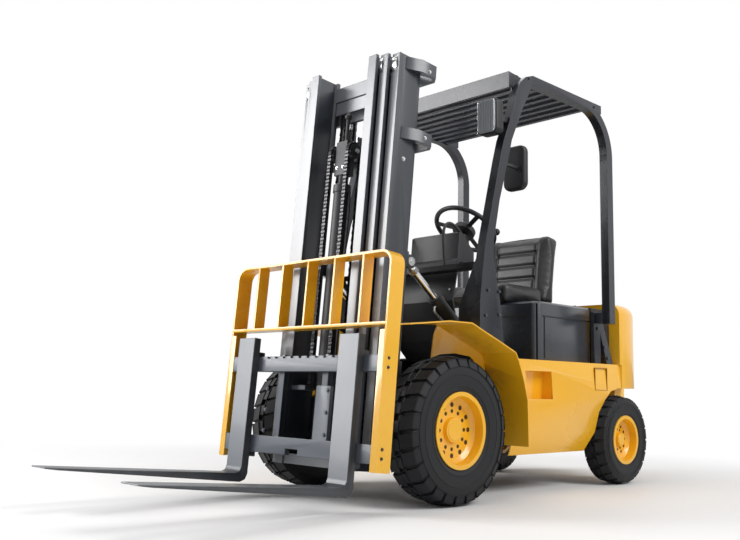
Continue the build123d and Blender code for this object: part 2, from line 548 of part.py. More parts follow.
# Cowl, instrument pod and steering column
COWL_T = 8
cowl = slab_y([(-393, 793), (-400, 800), (-340, 1000), (-390, 1220), (-382, 1220), (-331, 1000)], -240, 240)
dash = block(-345, -250, -RAIL_IN, RAIL_IN, 1150, 1178)
save("cowl", cowl + dash - pillar - flipped(pillar))
POD_X = (-560, -420)
POD_Y = (-150, 200)
POD_Z = (1220, 1392)
pod = slab_y([(POD_X[1], POD_Z[0] + 20), (POD_X[1] - 12, POD_Z[1] - 10), (POD_X[1] - 30, POD_Z[1]),
              (POD_X[0], POD_Z[0] + 70), (POD_X[0], POD_Z[0]), (POD_X[1] + 38, POD_Z[0])], *POD_Y)
AIM = Pos(WHEEL_CENTRE_X, 0, WHEEL_CENTRE_Z) * Rot(0, -WHEEL_TILT, 0)
column = AIM * Pos(0, 0, -40) * Cylinder(COLUMN_R, 330, align=(Align.CENTER, Align.CENTER, Align.MAX))
column += AIM * Pos(0, 0, -60) * Cylinder(45, 150, align=(Align.CENTER, Align.CENTER, Align.MAX))
column += AIM * Pos(0, 0, -6) * Cylinder(9, 60, align=(Align.CENTER, Align.CENTER, Align.MAX))
save("instrument_pod", pod - column)
save("steering_column", column - cowl - block(-600, -300, -300, 300, 0, POD_Z[0] - 40))

wheel = Torus(WHEEL_RIM_R, WHEEL_GRIP_R)
hub = Pos(0, 0, -12) * Cylinder(66, 40)
wheel += chamfer(hub.faces().sort_by(Axis.Z)[-1].edges(), 10)
wheel -= Pos(0, 0, -24) * Cylinder(9 + RUNNING_FIT, 42)
for turn in range(3):
    spoke = Pos(WHEEL_RIM_R / 2 + 12, 0, -8) * Box(WHEEL_RIM_R - 20, 26, 10)
    wheel += Rot(0, 0, 60 + turn * 120) * spoke
save("steering_wheel", wheel, AIM)

# Control levers to the right of the pod, and pedals on the toe board
levers = []
for count in range(3):
    y = POD_Y[0] - 30 - count * 38
    path = FilletPolyline((-330, y, 1178), (-330, y, 1330), (-400, y, 1385), radius=40)
    stem = sweep(Plane(origin=path @ 0, z_dir=path % 0) * Circle(7), path=path)
    levers.append(stem + Pos(path @ 1) * Sphere(16))
save("control_levers", levers)
pedals = []
for y, w in ((-150, 70), (-30, 90), (110, 70)):
    pedals.append(slab_y([(-470, 730), (-438, 762), (-478, 812), (-520, 790), (-516, 782), (-479, 800),
                          (-450, 761), (-474, 736)], y - w / 2, y + w / 2))
save("foot_pedals", pedals)


# Mast rails: the outer pair are channels, the inner two pairs are beams with a web midway
def rail(span, front_u, foot_v, web_y):
    rear_u = front_u - RAIL_DEPTH
    length = MAST_TOP - foot_v
    y0, y1 = span
    section = block(front_u - RAIL_FLANGE, front_u, y0, y1, foot_v, MAST_TOP)
    section += block(rear_u, rear_u + RAIL_FLANGE, y0, y1, foot_v, MAST_TOP)
    section += block(rear_u, front_u, web_y - RAIL_WEB / 2, web_y + RAIL_WEB / 2, foot_v, MAST_TOP)
    return section


OUTER_U = OUTER_FRONT_U - RAIL_DEPTH / 2
MIDDLE_U = OUTER_U + STAGE_STEP
INNER_U = MIDDLE_U + STAGE_STEP
ROLLER_R = RAIL_DEPTH / 2 - RAIL_FLANGE - SEAT_GAP
TOP_ROLLER_V = MAST_TOP - ROLLER_INSET
OUTER_WEB = OUTER_Y[1] - RAIL_WEB / 2
MIDDLE_WEB = (MIDDLE_Y[0] + MIDDLE_Y[1]) / 2
INNER_WEB = (INNER_Y[0] + INNER_Y[1]) / 2
HALF_WEB = RAIL_WEB / 2


def roller(u, v, y0, y1):
    """A mast roller, from its own web at one end towards the next rail."""
    return bar_y(u, v, ROLLER_R, min(y0, y1), max(y0, y1))


def notch(u, v, y0, y1):
    return bar_y(u, v, ROLLER_R + CLEAR, min(y0, y1), max(y0, y1))


# Outer mast: channels, bowed cross ties, feet that clasp the drive axle, ears for tilt
outer_side = rail(OUTER_Y, OUTER_FRONT_U, OUTER_FOOT, OUTER_WEB)
outer_side -= notch(MIDDLE_U, TOP_ROLLER_V, OUTER_Y[0] - 5, OUTER_WEB - HALF_WEB)
outer_side += roller(MIDDLE_U, TOP_ROLLER_V, MIDDLE_WEB + HALF_WEB + 2, OUTER_WEB - HALF_WEB)
TIE_OUT = 400
TIE_U = -186
TIE_T = 16


def bowed_tie(v0, v1):
    outside = [(28, OUTER_Y[1]), (28, OUTER_Y[1] + 6), (-50, TIE_OUT), (-150, TIE_OUT),
               (TIE_U, TIE_OUT - 40), (TIE_U, -TIE_OUT + 40), (-150, -TIE_OUT), (-50, -TIE_OUT),
               (28, -OUTER_Y[1] - 6), (28, -OUTER_Y[1])]
    inside = [(-60, -OUTER_Y[1]), (-140, -TIE_OUT + TIE_T), (TIE_U + TIE_T, -TIE_OUT + TIE_T + 32),
              (TIE_U + TIE_T, TIE_OUT - TIE_T - 32), (-140, TIE_OUT - TIE_T), (-60, OUTER_Y[1])]
    face = make_face(Polyline(*[(u, y, v0) for u, y in outside + inside], close=True))
    return extrude(face, amount=v1 - v0, dir=(0, 0, 1))


axle_spot = MAST.inverse() * Pos(0, 0, FRONT_TYRE_R)
AXLE_U = axle_spot.position.X
AXLE_V = axle_spot.position.Z
REAR_U = OUTER_FRONT_U - RAIL_DEPTH
cap = slab_y([(REAR_U, AXLE_V - 60), (REAR_U, AXLE_V + 130), (AXLE_U + 60, AXLE_V + 100),
              (AXLE_U, AXLE_V + 100), (AXLE_U - 70, AXLE_V + 70), (AXLE_U - 100, AXLE_V),
              (AXLE_U - 70, AXLE_V - 70), (AXLE_U, AXLE_V - 100), (AXLE_U + 70, AXLE_V - 90)],
             OUTER_Y[0], OUTER_Y[0] + 32)
cap -= bar_y(AXLE_U, AXLE_V, AXLE_TUBE_R + RUNNING_FIT, OUTER_Y[0] - 5, OUTER_Y[1] + 5)
eye_spot = MAST.inverse() * Pos(TILT_EYE_X, 0, TILT_EYE_Z)
EYE_U = eye_spot.position.X
EYE_V = eye_spot.position.Z
ear_out = TILT_Y + TILT_EYE_W / 2 + 4
ear_in = TILT_Y - TILT_EYE_W / 2 - 4
ears = bar_y(EYE_U, EYE_V, 34, ear_out, ear_out + 12) + block(EYE_U, REAR_U, ear_out, ear_out + 12,
                                                            EYE_V - 30, EYE_V + 34)
ears += bar_y(EYE_U, EYE_V, 34, ear_in - 12, ear_in) + block(EYE_U, REAR_U, ear_in - 12, ear_in,
                                                            EYE_V - 30, EYE_V + 34)
ears += block(REAR_U - 10, REAR_U, ear_in - 12, OUTER_Y[1], EYE_V - 34, EYE_V + 38)
ears += bar_y(EYE_U, EYE_V, TILT_PIN_R, ear_in - 12, ear_out + 12)
outer_side += cap
outer_side += ears
outer_mast = outer_side + flipped(outer_side)
outer_mast += bowed_tie(MAST_TOP - 73, MAST_TOP - 8)
outer_mast += bowed_tie(MAST_TOP - 434, MAST_TOP - 374)
outer_mast += block(REAR_U - 16, REAR_U, -OUTER_Y[1], OUTER_Y[1], 180, 320)
CHAIN_FRONT_U = -42
STAGE_SHEAVE_U = CHAIN_FRONT_U - SHEAVE_R
CHAIN_REAR_U = STAGE_SHEAVE_U - SHEAVE_R
ANCHOR_V = MAST_TOP - 400
for end in (-1, 1):
    y = end * STAGE_CHAIN_Y
    outer_mast += block(TIE_U + 5, CHAIN_REAR_U + CHAIN_T / 2, y - 20, y + 20, ANCHOR_V - 16, ANCHOR_V)
barrels = []
LIFT_BARREL_TOP = MAST_TOP - 190
for end in (-1, 1):
    y = end * LIFT_CYLINDER_Y
    outer_mast += block(LIFT_CYLINDER_U - 40, REAR_U, y - 36, y + 36, -120, -90)
    barrel = bar_z(LIFT_CYLINDER_U, y, LIFT_BARREL_R, -90, LIFT_BARREL_TOP)
    barrel -= bar_z(LIFT_CYLINDER_U, y, LIFT_ROD_R + RUNNING_FIT, -70, LIFT_BARREL_TOP + 5)
    barrels.append(barrel)
outer_mast += block(REAR_U - 16, REAR_U, -OUTER_Y[1], OUTER_Y[1], -120, -40)
save("outer_mast", outer_mast, MAST)
save("lift_barrels", barrels, MAST)

# Middle mast: beams with rollers, a rear tie each end, sheaves for the inner stage's chains
MIDDLE_FRONT_U = OUTER_FRONT_U + STAGE_STEP
MIDDLE_REAR_U = MIDDLE_FRONT_U - RAIL_DEPTH
FOOT_ROLLER_V = INNER_FOOT + ROLLER_INSET + 50
middle_side = rail(MIDDLE_Y, MIDDLE_FRONT_U, INNER_FOOT, MIDDLE_WEB)
middle_side -= notch(INNER_U, TOP_ROLLER_V, MIDDLE_Y[0] - 5, MIDDLE_WEB - HALF_WEB)
middle_side += roller(INNER_U, TOP_ROLLER_V, INNER_WEB + HALF_WEB + 2, MIDDLE_WEB - HALF_WEB)
middle_side -= notch(OUTER_U, FOOT_ROLLER_V, MIDDLE_WEB + HALF_WEB, MIDDLE_Y[1] + 5)
middle_side += roller(OUTER_U, FOOT_ROLLER_V, MIDDLE_WEB + HALF_WEB, OUTER_WEB - HALF_WEB - 2)
middle_mast = middle_side + flipped(middle_side)
tie_rear = MIDDLE_REAR_U - 18
MIDDLE_TIE_V = (MAST_TOP - 230, MAST_TOP - 140)
middle_mast += block(tie_rear, MIDDLE_REAR_U, -MIDDLE_Y[1], MIDDLE_Y[1], *MIDDLE_TIE_V)
middle_mast += block(tie_rear, MIDDLE_REAR_U, -MIDDLE_Y[1], MIDDLE_Y[1], INNER_FOOT, INNER_FOOT + 70)
ROD_TOP = MAST_TOP - 40
for end in (-1, 1):
    y = end * LIFT_CYLINDER_Y
    head = block(LIFT_CYLINDER_U - 28, MIDDLE_REAR_U, y - 28, y + 28, ROD_TOP, ROD_TOP + 24)
    head += block(tie_rear, MIDDLE_REAR_U, min(y - end * 28, end * MIDDLE_Y[1]),
                  max(y - end * 28, end * MIDDLE_Y[1]), MIDDLE_TIE_V[1], ROD_TOP + 24)
    middle_mast += head
SHEAVE_V = MAST_TOP - 78
for end in (-1, 1):
    y = end * STAGE_CHAIN_Y
    inner_y = y - 22 * end
    pulley = bar_y(STAGE_SHEAVE_U, SHEAVE_V, SHEAVE_R - CHAIN_T / 2 - SEAT_GAP, y - 15, y + 15)
    pin = bar_y(STAGE_SHEAVE_U, SHEAVE_V, 14, min(inner_y, y + 30 * end), max(inner_y, y + 30 * end))
    cheek = block(STAGE_SHEAVE_U - 24, MIDDLE_REAR_U, min(y + 18 * end, y + 30 * end),
                  max(y + 18 * end, y + 30 * end), MIDDLE_TIE_V[1], SHEAVE_V + 30)
    cheek += block(tie_rear, MIDDLE_REAR_U, min(y + 18 * end, y + 30 * end),
                   max(y + 18 * end, y + 30 * end), MIDDLE_TIE_V[1] - 40, MIDDLE_TIE_V[1] + 10)
    middle_mast += pulley + pin + cheek
save("middle_mast", middle_mast, MAST)
rods = [bar_z(LIFT_CYLINDER_U, end * LIFT_CYLINDER_Y, LIFT_ROD_R, -60, ROD_TOP) for end in (-1, 1)]
save("lift_rods", rods, MAST)

# Inner mast: beams with foot rollers, a top tie in front and the seat of the centre cylinder
INNER_FRONT_U = MIDDLE_FRONT_U + STAGE_STEP
INNER_REAR_U = INNER_FRONT_U - RAIL_DEPTH
inner_side = rail(INNER_Y, INNER_FRONT_U, INNER_FOOT, INNER_WEB)
inner_side -= notch(MIDDLE_U, FOOT_ROLLER_V, INNER_WEB + HALF_WEB, INNER_Y[1] + 5)
inner_side += roller(MIDDLE_U, FOOT_ROLLER_V, INNER_WEB + HALF_WEB, MIDDLE_WEB - HALF_WEB - 2)
inner_mast = inner_side + flipped(inner_side)
inner_mast += block(INNER_REAR_U, INNER_REAR_U + 24, -INNER_Y[0], INNER_Y[0], MAST_TOP - 118, MAST_TOP - 38)
inner_mast += block(INNER_REAR_U, INNER_REAR_U + 14, -INNER_Y[0], INNER_Y[0], MAST_TOP - 190, MAST_TOP - 118)
inner_mast += block(INNER_REAR_U, INNER_FRONT_U - 10, -INNER_Y[0], INNER_Y[0], INNER_FOOT, INNER_FOOT + 50)
for end in (-1, 1):
    y = end * STAGE_CHAIN_Y
    inner_mast += block(CHAIN_FRONT_U - CHAIN_T / 2, INNER_REAR_U, y - 16, y + 16,
                        INNER_FOOT, INNER_FOOT + 20)
save("inner_mast", inner_mast, MAST)
FREE_BARREL_TOP = MAST_TOP - 630
free_barrel = bar_z(FREE_CYLINDER_U, 0, FREE_BARREL_R, INNER_FOOT + 50, FREE_BARREL_TOP)
free_barrel -= bar_z(FREE_CYLINDER_U, 0, FREE_ROD_R + RUNNING_FIT, INNER_FOOT + 70, FREE_BARREL_TOP + 5)
ANCHOR_LOW_V = 300
free_barrel += block(FREE_CYLINDER_U - SHEAVE_R - CHAIN_T / 2, FREE_CYLINDER_U - FREE_BARREL_R + 14,
                     -CARRIAGE_CHAIN_Y - 16, CARRIAGE_CHAIN_Y + 16, ANCHOR_LOW_V - 20, ANCHOR_LOW_V)
save("free_lift_barrel", free_barrel, MAST)

# Crosshead on the centre rod, with the two carriage sheaves
CROSS_SHEAVE_V = FREE_BARREL_TOP + 170
crosshead = bar_z(FREE_CYLINDER_U, 0, FREE_ROD_R, INNER_FOOT + 80, CROSS_SHEAVE_V)
crosshead += block(FREE_CYLINDER_U - 30, FREE_CYLINDER_U + 30, -40, 40,
                   FREE_BARREL_TOP + 50, FREE_BARREL_TOP + 230)
crosshead += bar_y(FREE_CYLINDER_U, CROSS_SHEAVE_V, 16, -88, 88)
crosshead += bar_z(FREE_CYLINDER_U, 0, 10, FREE_BARREL_TOP + 230, FREE_BARREL_TOP + 360)
crosshead += Pos(FREE_CYLINDER_U, 0, FREE_BARREL_TOP + 370) * Sphere(20)
for end in (-1, 1):
    y = end * CARRIAGE_CHAIN_Y
    crosshead += bar_y(FREE_CYLINDER_U, CROSS_SHEAVE_V, SHEAVE_R - CHAIN_T / 2 - SEAT_GAP, y - 15, y + 15)
save("crosshead", crosshead, MAST)

# Leaf chains as flat straps: two front and two rear runs, each stretching with its lift
def strap(u, y, v0, v1):
    return block(u - CHAIN_T / 2, u + CHAIN_T / 2, y - CHAIN_W / 2, y + CHAIN_W / 2, v0, v1)


def over_sheave(u, y, v):
    ring = bar_y(u, v, SHEAVE_R + CHAIN_T / 2, y - CHAIN_W / 2, y + CHAIN_W / 2)
    ring -= bar_y(u, v, SHEAVE_R - CHAIN_T / 2, y - CHAIN_W, y + CHAIN_W)
    return ring & block(u - 90, u + 90, y - 40, y + 40, v, v + 90)


rear_runs, front_runs, carriage_rear, carriage_front = [], [], [], []
CARRIAGE_ANCHOR_V = 180
for end in (-1, 1):
    y = end * STAGE_CHAIN_Y
    rear_runs.append(strap(CHAIN_REAR_U, y, ANCHOR_V, SHEAVE_V) + over_sheave(STAGE_SHEAVE_U, y, SHEAVE_V))
    front_runs.append(strap(CHAIN_FRONT_U, y, INNER_FOOT + 20, SHEAVE_V))
    y = end * CARRIAGE_CHAIN_Y
    carriage_rear.append(strap(FREE_CYLINDER_U - SHEAVE_R, y, ANCHOR_LOW_V, CROSS_SHEAVE_V)
                         + over_sheave(FREE_CYLINDER_U, y, CROSS_SHEAVE_V))
    carriage_front.append(strap(FREE_CYLINDER_U + SHEAVE_R, y, CARRIAGE_ANCHOR_V, CROSS_SHEAVE_V))
save("stage_chain_rear", rear_runs, MAST)
save("stage_chain_front", front_runs, MAST)
save("carriage_chain_rear", carriage_rear, MAST)
save("carriage_chain_front", carriage_front, MAST)

# Carriage: two fork bars on a pair of roller brackets
BAR_REAR_U = CARRIAGE_FACE_U - CARRIAGE_BAR_T
BRACKET_Y = (150, 172)
carriage = block(BAR_REAR_U, CARRIAGE_FACE_U, -CARRIAGE_HALF_W, CARRIAGE_HALF_W, *UPPER_BAR_V)
carriage += block(BAR_REAR_U, CARRIAGE_FACE_U, -CARRIAGE_HALF_W, CARRIAGE_HALF_W, *LOWER_BAR_V)
carriage -= block(BAR_REAR_U - 5, CARRIAGE_FACE_U + 5, -45, 45, LOWER_BAR_V[0] - 5, LOWER_BAR_V[0] + 30)
carriage += block(BAR_REAR_U + 10, CARRIAGE_FACE_U, 140, 240, LOWER_BAR_V[1], 170)
NOTCH_STEP = 60
for count in range(-4, 5):
    carriage -= block(BAR_REAR_U - 5, CARRIAGE_FACE_U + 5, count * NOTCH_STEP - 8, count * NOTCH_STEP + 8,
                      UPPER_BAR_V[1] - 10, UPPER_BAR_V[1] + 5)
CARRIAGE_ROLLERS = (-62, 262)
for end in (-1, 1):
    low, high = sorted((end * BRACKET_Y[0], end * BRACKET_Y[1]))
    carriage += block(INNER_U - 40, BAR_REAR_U, low, high, LOWER_BAR_V[0] + 20, UPPER_BAR_V[1] + 10)
    carriage += block(BAR_REAR_U - 30, BAR_REAR_U, low - 10, high + 10, LOWER_BAR_V[0] + 20, UPPER_BAR_V[1])
    for v in CARRIAGE_ROLLERS:
        near, far = sorted((end * BRACKET_Y[1], end * (INNER_WEB - HALF_WEB - 2)))
        carriage += bar_y(INNER_U, v, ROLLER_R, near, far)
for end in (-1, 1):
    near, far = sorted((end * (FREE_BARREL_R + CLEAR), end * BRACKET_Y[1]))
    carriage += block(FREE_CYLINDER_U + SHEAVE_R - 12, BAR_REAR_U - 60, near, far,
                      CARRIAGE_ANCHOR_V - 24, CARRIAGE_ANCHOR_V)
save("carriage", carriage, MAST)

# Load backrest: a bent flat bar hoop with upright bars, bolted before the carriage bars
def hoop_outline(half_w, top_v, radius):
    run = FilletPolyline((0, -half_w, BACKREST_FOOT_V), (0, -half_w, top_v), (0, half_w, top_v),
                         (0, half_w, BACKREST_FOOT_V), radius=radius)
    return make_face([run, Line(run @ 1, run @ 0)])


BACKREST_CORNER_R = 65
BACKREST_FACE_U = CARRIAGE_FACE_U + 2
BACKREST_LOWER_V = 447
shell_face = hoop_outline(BACKREST_HALF_W, BACKREST_TOP_V, BACKREST_CORNER_R)
hole_face = hoop_outline(BACKREST_HALF_W - BACKREST_BAR_T, BACKREST_TOP_V - BACKREST_BAR_T,
                         BACKREST_CORNER_R - BACKREST_BAR_T)
ring = extrude(shell_face - hole_face, amount=BACKREST_DEPTH, dir=(-1, 0, 0))
ring = Pos(BACKREST_FACE_U, 0, 0) * ring
face_bar = block(BACKREST_FACE_U - 10, BACKREST_FACE_U, CARRIAGE_HALF_W, BACKREST_HALF_W,
                 BACKREST_FOOT_V, BACKREST_LOWER_V - 27)
load_backrest = ring + face_bar + flipped(face_bar)
load_backrest += block(BACKREST_FACE_U - 62, BACKREST_FACE_U, -BACKREST_HALF_W + 6, BACKREST_HALF_W - 6,
                       BACKREST_LOWER_V - 7, BACKREST_LOWER_V + 7)
UPRIGHT_STEP = 0.34 * BACKREST_HALF_W
for count in range(-2, 3):
    y = count * UPRIGHT_STEP
    load_backrest += block(BACKREST_FACE_U - 62, BACKREST_FACE_U, y - 6, y + 6, BACKREST_LOWER_V,
                           BACKREST_TOP_V - 6)
save("load_backrest", load_backrest, MAST)

# Forks: forged blades hooked on the two bars
def fork(y):
    face_u = CARRIAGE_FACE_U + SEAT_GAP
    front_u = face_u + FORK_T
    tip_u = front_u + FORK_LENGTH
    blade = slab_y([(face_u, FORK_TOP_V), (face_u, FORK_HEEL_V + 40),
                    (face_u + 12, FORK_HEEL_V + 12), (face_u + 40, FORK_HEEL_V),
                    (tip_u - 60, FORK_HEEL_V + 24), (tip_u, FORK_HEEL_V + FORK_TIP_RISE),
                    (tip_u, FORK_HEEL_V + FORK_TIP_RISE + 6),
                    (front_u + 30, FORK_HEEL_V + 42), (front_u + 8, FORK_HEEL_V + 52),
                    (front_u, FORK_HEEL_V + 74), (front_u, FORK_TOP_V)], y - FORK_W / 2, y + FORK_W / 2)
    hook = block(BAR_REAR_U - 18, face_u, y - 45, y + 45, UPPER_BAR_V[1] + SEAT_GAP, UPPER_BAR_V[1] + 24)
    hook += block(BAR_REAR_U - 18, BAR_REAR_U - SEAT_GAP, y - 45, y + 45,
                  UPPER_BAR_V[1] - 24, UPPER_BAR_V[1] + 24)
    low = block(BAR_REAR_U - 18, face_u, y - 45, y + 45, LOWER_BAR_V[0] - 24, LOWER_BAR_V[0] - SEAT_GAP)
    return blade + hook + low


save("forks", pair(fork(FORK_Y)), MAST)

# Tilt cylinders, drawn along their own line from the frame's pivot to the mast's eye
run_x = TILT_EYE_X - TILT_PIVOT_X
run_z = TILT_EYE_Z - TILT_PIVOT_Z
TILT_LENGTH = math.hypot(run_x, run_z)
TILT_RISE = math.degrees(math.atan2(run_z, run_x))
TILT = Pos(TILT_PIVOT_X, 0, TILT_PIVOT_Z) * Rot(0, -TILT_RISE, 0)
GLAND = 35
TILT_BORE_R = TILT_BARREL_R - 7


def bar_x(y, radius, x0, x1):
    return Pos((x0 + x1) / 2, y, 0) * Rot(0, 90, 0) * Cylinder(radius, x1 - x0)


tilt_barrel = bar_x(TILT_Y, TILT_BARREL_R, 45, TILT_BARREL_END)
tilt_barrel += bar_y(0, 0, TILT_EYE_R, TILT_Y - TILT_EYE_W / 2, TILT_Y + TILT_EYE_W / 2)
tilt_barrel += block(0, 60, TILT_Y - TILT_EYE_W / 2, TILT_Y + TILT_EYE_W / 2, -28, 28)
tilt_barrel -= bar_y(0, 0, TILT_PIN_R + RUNNING_FIT, TILT_Y - 60, TILT_Y + 60)
tilt_barrel -= bar_x(TILT_Y, TILT_BORE_R, 90, TILT_BARREL_END - GLAND)
tilt_barrel -= bar_x(TILT_Y, TILT_ROD_R + RUNNING_FIT, TILT_BARREL_END - GLAND - 5, TILT_BARREL_END + 5)
tilt_rod = bar_x(TILT_Y, TILT_ROD_R, 215, TILT_LENGTH - 20)
tilt_rod += bar_x(TILT_Y, TILT_BORE_R - RUNNING_FIT, 215, 245)
tilt_rod += bar_y(TILT_LENGTH, 0, TILT_EYE_R, TILT_Y - TILT_EYE_W / 2, TILT_Y + TILT_EYE_W / 2)
tilt_rod -= bar_y(TILT_LENGTH, 0, TILT_PIN_R + TILT_PIN_PLAY, TILT_Y - 60, TILT_Y + 60)
save("tilt_barrels", pair(tilt_barrel), TILT)
save("tilt_rods", pair(tilt_rod), TILT)
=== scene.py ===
import json
import math

import bmesh
import bpy
from mathutils import Matrix, Vector

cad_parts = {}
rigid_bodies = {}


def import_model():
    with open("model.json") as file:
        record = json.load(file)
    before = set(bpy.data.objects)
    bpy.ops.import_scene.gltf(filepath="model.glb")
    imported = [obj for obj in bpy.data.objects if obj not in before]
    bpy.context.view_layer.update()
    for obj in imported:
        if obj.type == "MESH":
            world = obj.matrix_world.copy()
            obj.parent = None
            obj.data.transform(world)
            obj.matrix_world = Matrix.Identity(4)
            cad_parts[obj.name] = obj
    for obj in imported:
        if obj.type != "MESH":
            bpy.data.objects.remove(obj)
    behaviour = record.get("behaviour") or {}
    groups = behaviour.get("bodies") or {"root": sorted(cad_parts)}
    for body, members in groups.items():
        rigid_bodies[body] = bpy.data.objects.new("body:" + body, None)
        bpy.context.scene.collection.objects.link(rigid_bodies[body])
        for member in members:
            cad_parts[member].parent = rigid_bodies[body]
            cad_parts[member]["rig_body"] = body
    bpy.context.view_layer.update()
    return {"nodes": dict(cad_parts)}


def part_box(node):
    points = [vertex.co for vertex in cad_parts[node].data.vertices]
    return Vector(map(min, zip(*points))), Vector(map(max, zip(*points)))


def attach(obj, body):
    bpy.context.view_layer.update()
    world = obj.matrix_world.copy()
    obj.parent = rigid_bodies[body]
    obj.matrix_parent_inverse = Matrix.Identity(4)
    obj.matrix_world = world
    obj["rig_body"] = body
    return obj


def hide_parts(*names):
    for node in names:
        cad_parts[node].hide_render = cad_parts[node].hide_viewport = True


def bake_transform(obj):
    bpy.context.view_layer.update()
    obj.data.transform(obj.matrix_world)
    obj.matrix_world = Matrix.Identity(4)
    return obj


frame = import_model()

scene = bpy.context.scene

# Studio: a white floor that runs into a white background, soft light from the front, the
# left and above, and a camera low before the truck's left front corner. Places are given
# from the point on the ground below the front axle.
axle_low, axle_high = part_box("front_rim_left")
axle_x = (axle_low.x + axle_high.x) / 2
CAMERA_AT = Vector((axle_x + 3.1562, 3.1981, 0.5338))
CAMERA_YAW = math.radians(45.802)
CAMERA_PITCH = math.radians(7.745)
CAMERA_ROLL = math.radians(1.116)
CAMERA_LENS = 42.14
CAMERA_SENSOR = 36

ahead = Vector((-math.cos(CAMERA_YAW) * math.cos(CAMERA_PITCH),
                -math.sin(CAMERA_YAW) * math.cos(CAMERA_PITCH), math.sin(CAMERA_PITCH)))
level = ahead.cross(Vector((0, 0, 1))).normalized()
raised = level.cross(ahead)
across = level * math.cos(CAMERA_ROLL) + raised * math.sin(CAMERA_ROLL)
upright = raised * math.cos(CAMERA_ROLL) - level * math.sin(CAMERA_ROLL)
camera = bpy.data.objects.new("camera", bpy.data.cameras.new("camera"))
camera.matrix_world = Matrix((
    (across.x, upright.x, -ahead.x, CAMERA_AT.x),
    (across.y, upright.y, -ahead.y, CAMERA_AT.y),
    (across.z, upright.z, -ahead.z, CAMERA_AT.z),
    (0, 0, 0, 1),
))
camera.data.lens = CAMERA_LENS
camera.data.sensor_width = CAMERA_SENSOR
camera.data.clip_end = 200
scene.collection.objects.link(camera)
scene.camera = camera
scene.view_settings.view_transform = "Standard"

FLOOR_HALF = 60
FLOOR_WHITE = (0.92, 0.92, 0.92, 1)
FADE_FROM = 1.9
FADE_TO = 4.2
floor_mesh = bpy.data.meshes.new("studio_floor")
floor_bm = bmesh.new()
bmesh.ops.create_grid(floor_bm, x_segments=1, y_segments=1, size=FLOOR_HALF)
floor_bm.to_mesh(floor_mesh)
floor_bm.free()
floor = bpy.data.objects.new("studio_floor", floor_mesh)
scene.collection.objects.link(floor)


def node_of(tree, kind, **values):
    """A new node of a kind in a tree, with its settings."""
    node = tree.nodes.new(kind)
    for key, value in values.items():
        setattr(node, key, value)
    return node


floor_paint = bpy.data.materials.new("white_floor")
floor_paint.use_nodes = True
tree = floor_paint.node_tree
diffuse = tree.nodes["Principled BSDF"]
diffuse.inputs["Base Color"].default_value = FLOOR_WHITE
diffuse.inputs["Roughness"].default_value = 0.6
diffuse.inputs["Specular IOR Level"].default_value = 0.2
glow = node_of(tree, "ShaderNodeEmission")
glow.inputs["Color"].default_value = (1, 1, 1, 1)
place = node_of(tree, "ShaderNodeTexCoord")
away = node_of(tree, "ShaderNodeVectorMath", operation="LENGTH")
tree.links.new(place.outputs["Object"], away.inputs[0])
fade = node_of(tree, "ShaderNodeMapRange", interpolation_type="SMOOTHSTEP")
fade.inputs["From Min"].default_value = FADE_FROM
fade.inputs["From Max"].default_value = FADE_TO
tree.links.new(away.outputs["Value"], fade.inputs["Value"])
ray = node_of(tree, "ShaderNodeLightPath")
only_seen = node_of(tree, "ShaderNodeMath", operation="MULTIPLY")
tree.links.new(fade.outputs["Result"], only_seen.inputs[0])
tree.links.new(ray.outputs["Is Camera Ray"], only_seen.inputs[1])
blend = node_of(tree, "ShaderNodeMixShader")
tree.links.new(only_seen.outputs["Value"], blend.inputs["Fac"])
tree.links.new(diffuse.outputs["BSDF"], blend.inputs[1])
tree.links.new(glow.outputs["Emission"], blend.inputs[2])
tree.links.new(blend.outputs["Shader"], tree.nodes["Material Output"].inputs["Surface"])
floor_mesh.materials.append(floor_paint)

# The room lights the truck softly, and shows white to the camera, in gloss and through glass
ROOM_LIGHT = 0.24
world = bpy.data.worlds.new("white_room")
scene.world = world
world.use_nodes = True
tree = world.node_tree
sky = tree.nodes["Background"]
sky.inputs["Color"].default_value = (1, 1, 1, 1)
sky.inputs["Strength"].default_value = ROOM_LIGHT
backdrop = node_of(tree, "ShaderNodeBackground")
backdrop.inputs["Color"].default_value = (1, 1, 1, 1)
ray = node_of(tree, "ShaderNodeLightPath")
seen_or_mirrored = node_of(tree, "ShaderNodeMath", operation="MAXIMUM")
tree.links.new(ray.outputs["Is Camera Ray"], seen_or_mirrored.inputs[0])
tree.links.new(ray.outputs["Is Glossy Ray"], seen_or_mirrored.inputs[1])
or_through_glass = node_of(tree, "ShaderNodeMath", operation="MAXIMUM")
tree.links.new(ray.outputs["Is Transmission Ray"], or_through_glass.inputs[0])
tree.links.new(seen_or_mirrored.outputs["Value"], or_through_glass.inputs[1])
blend = node_of(tree, "ShaderNodeMixShader")
tree.links.new(or_through_glass.outputs["Value"], blend.inputs["Fac"])
tree.links.new(sky.outputs["Background"], blend.inputs[1])
tree.links.new(backdrop.outputs["Background"], blend.inputs[2])
tree.links.new(blend.outputs["Shader"], tree.nodes["World Output"].inputs["Surface"])

LAMPS_AIM = Vector((axle_x - 0.6, 0, 0.9))
# Place, width in metres and watts of each lamp
LAMPS = {
    "front_lamp": ((axle_x + 4.1, -4.0, 3.3), 3.0, 300),
    "side_lamp": ((axle_x - 1.4, 5.2, 4.6), 3.2, 250),
    "top_lamp": ((axle_x - 0.8, -0.5, 5.4), 3.6, 80),
}
for name, (spot, size, watts) in LAMPS.items():
    light = bpy.data.lights.new(name, "AREA")
    light.size = size
    light.energy = watts
    lamp = bpy.data.objects.new(name, light)
    lamp.location = spot
    aim = LAMPS_AIM - Vector(spot)
    lamp.rotation_euler = aim.to_track_quat("-Z", "Y").to_euler()
    scene.collection.objects.link(lamp)

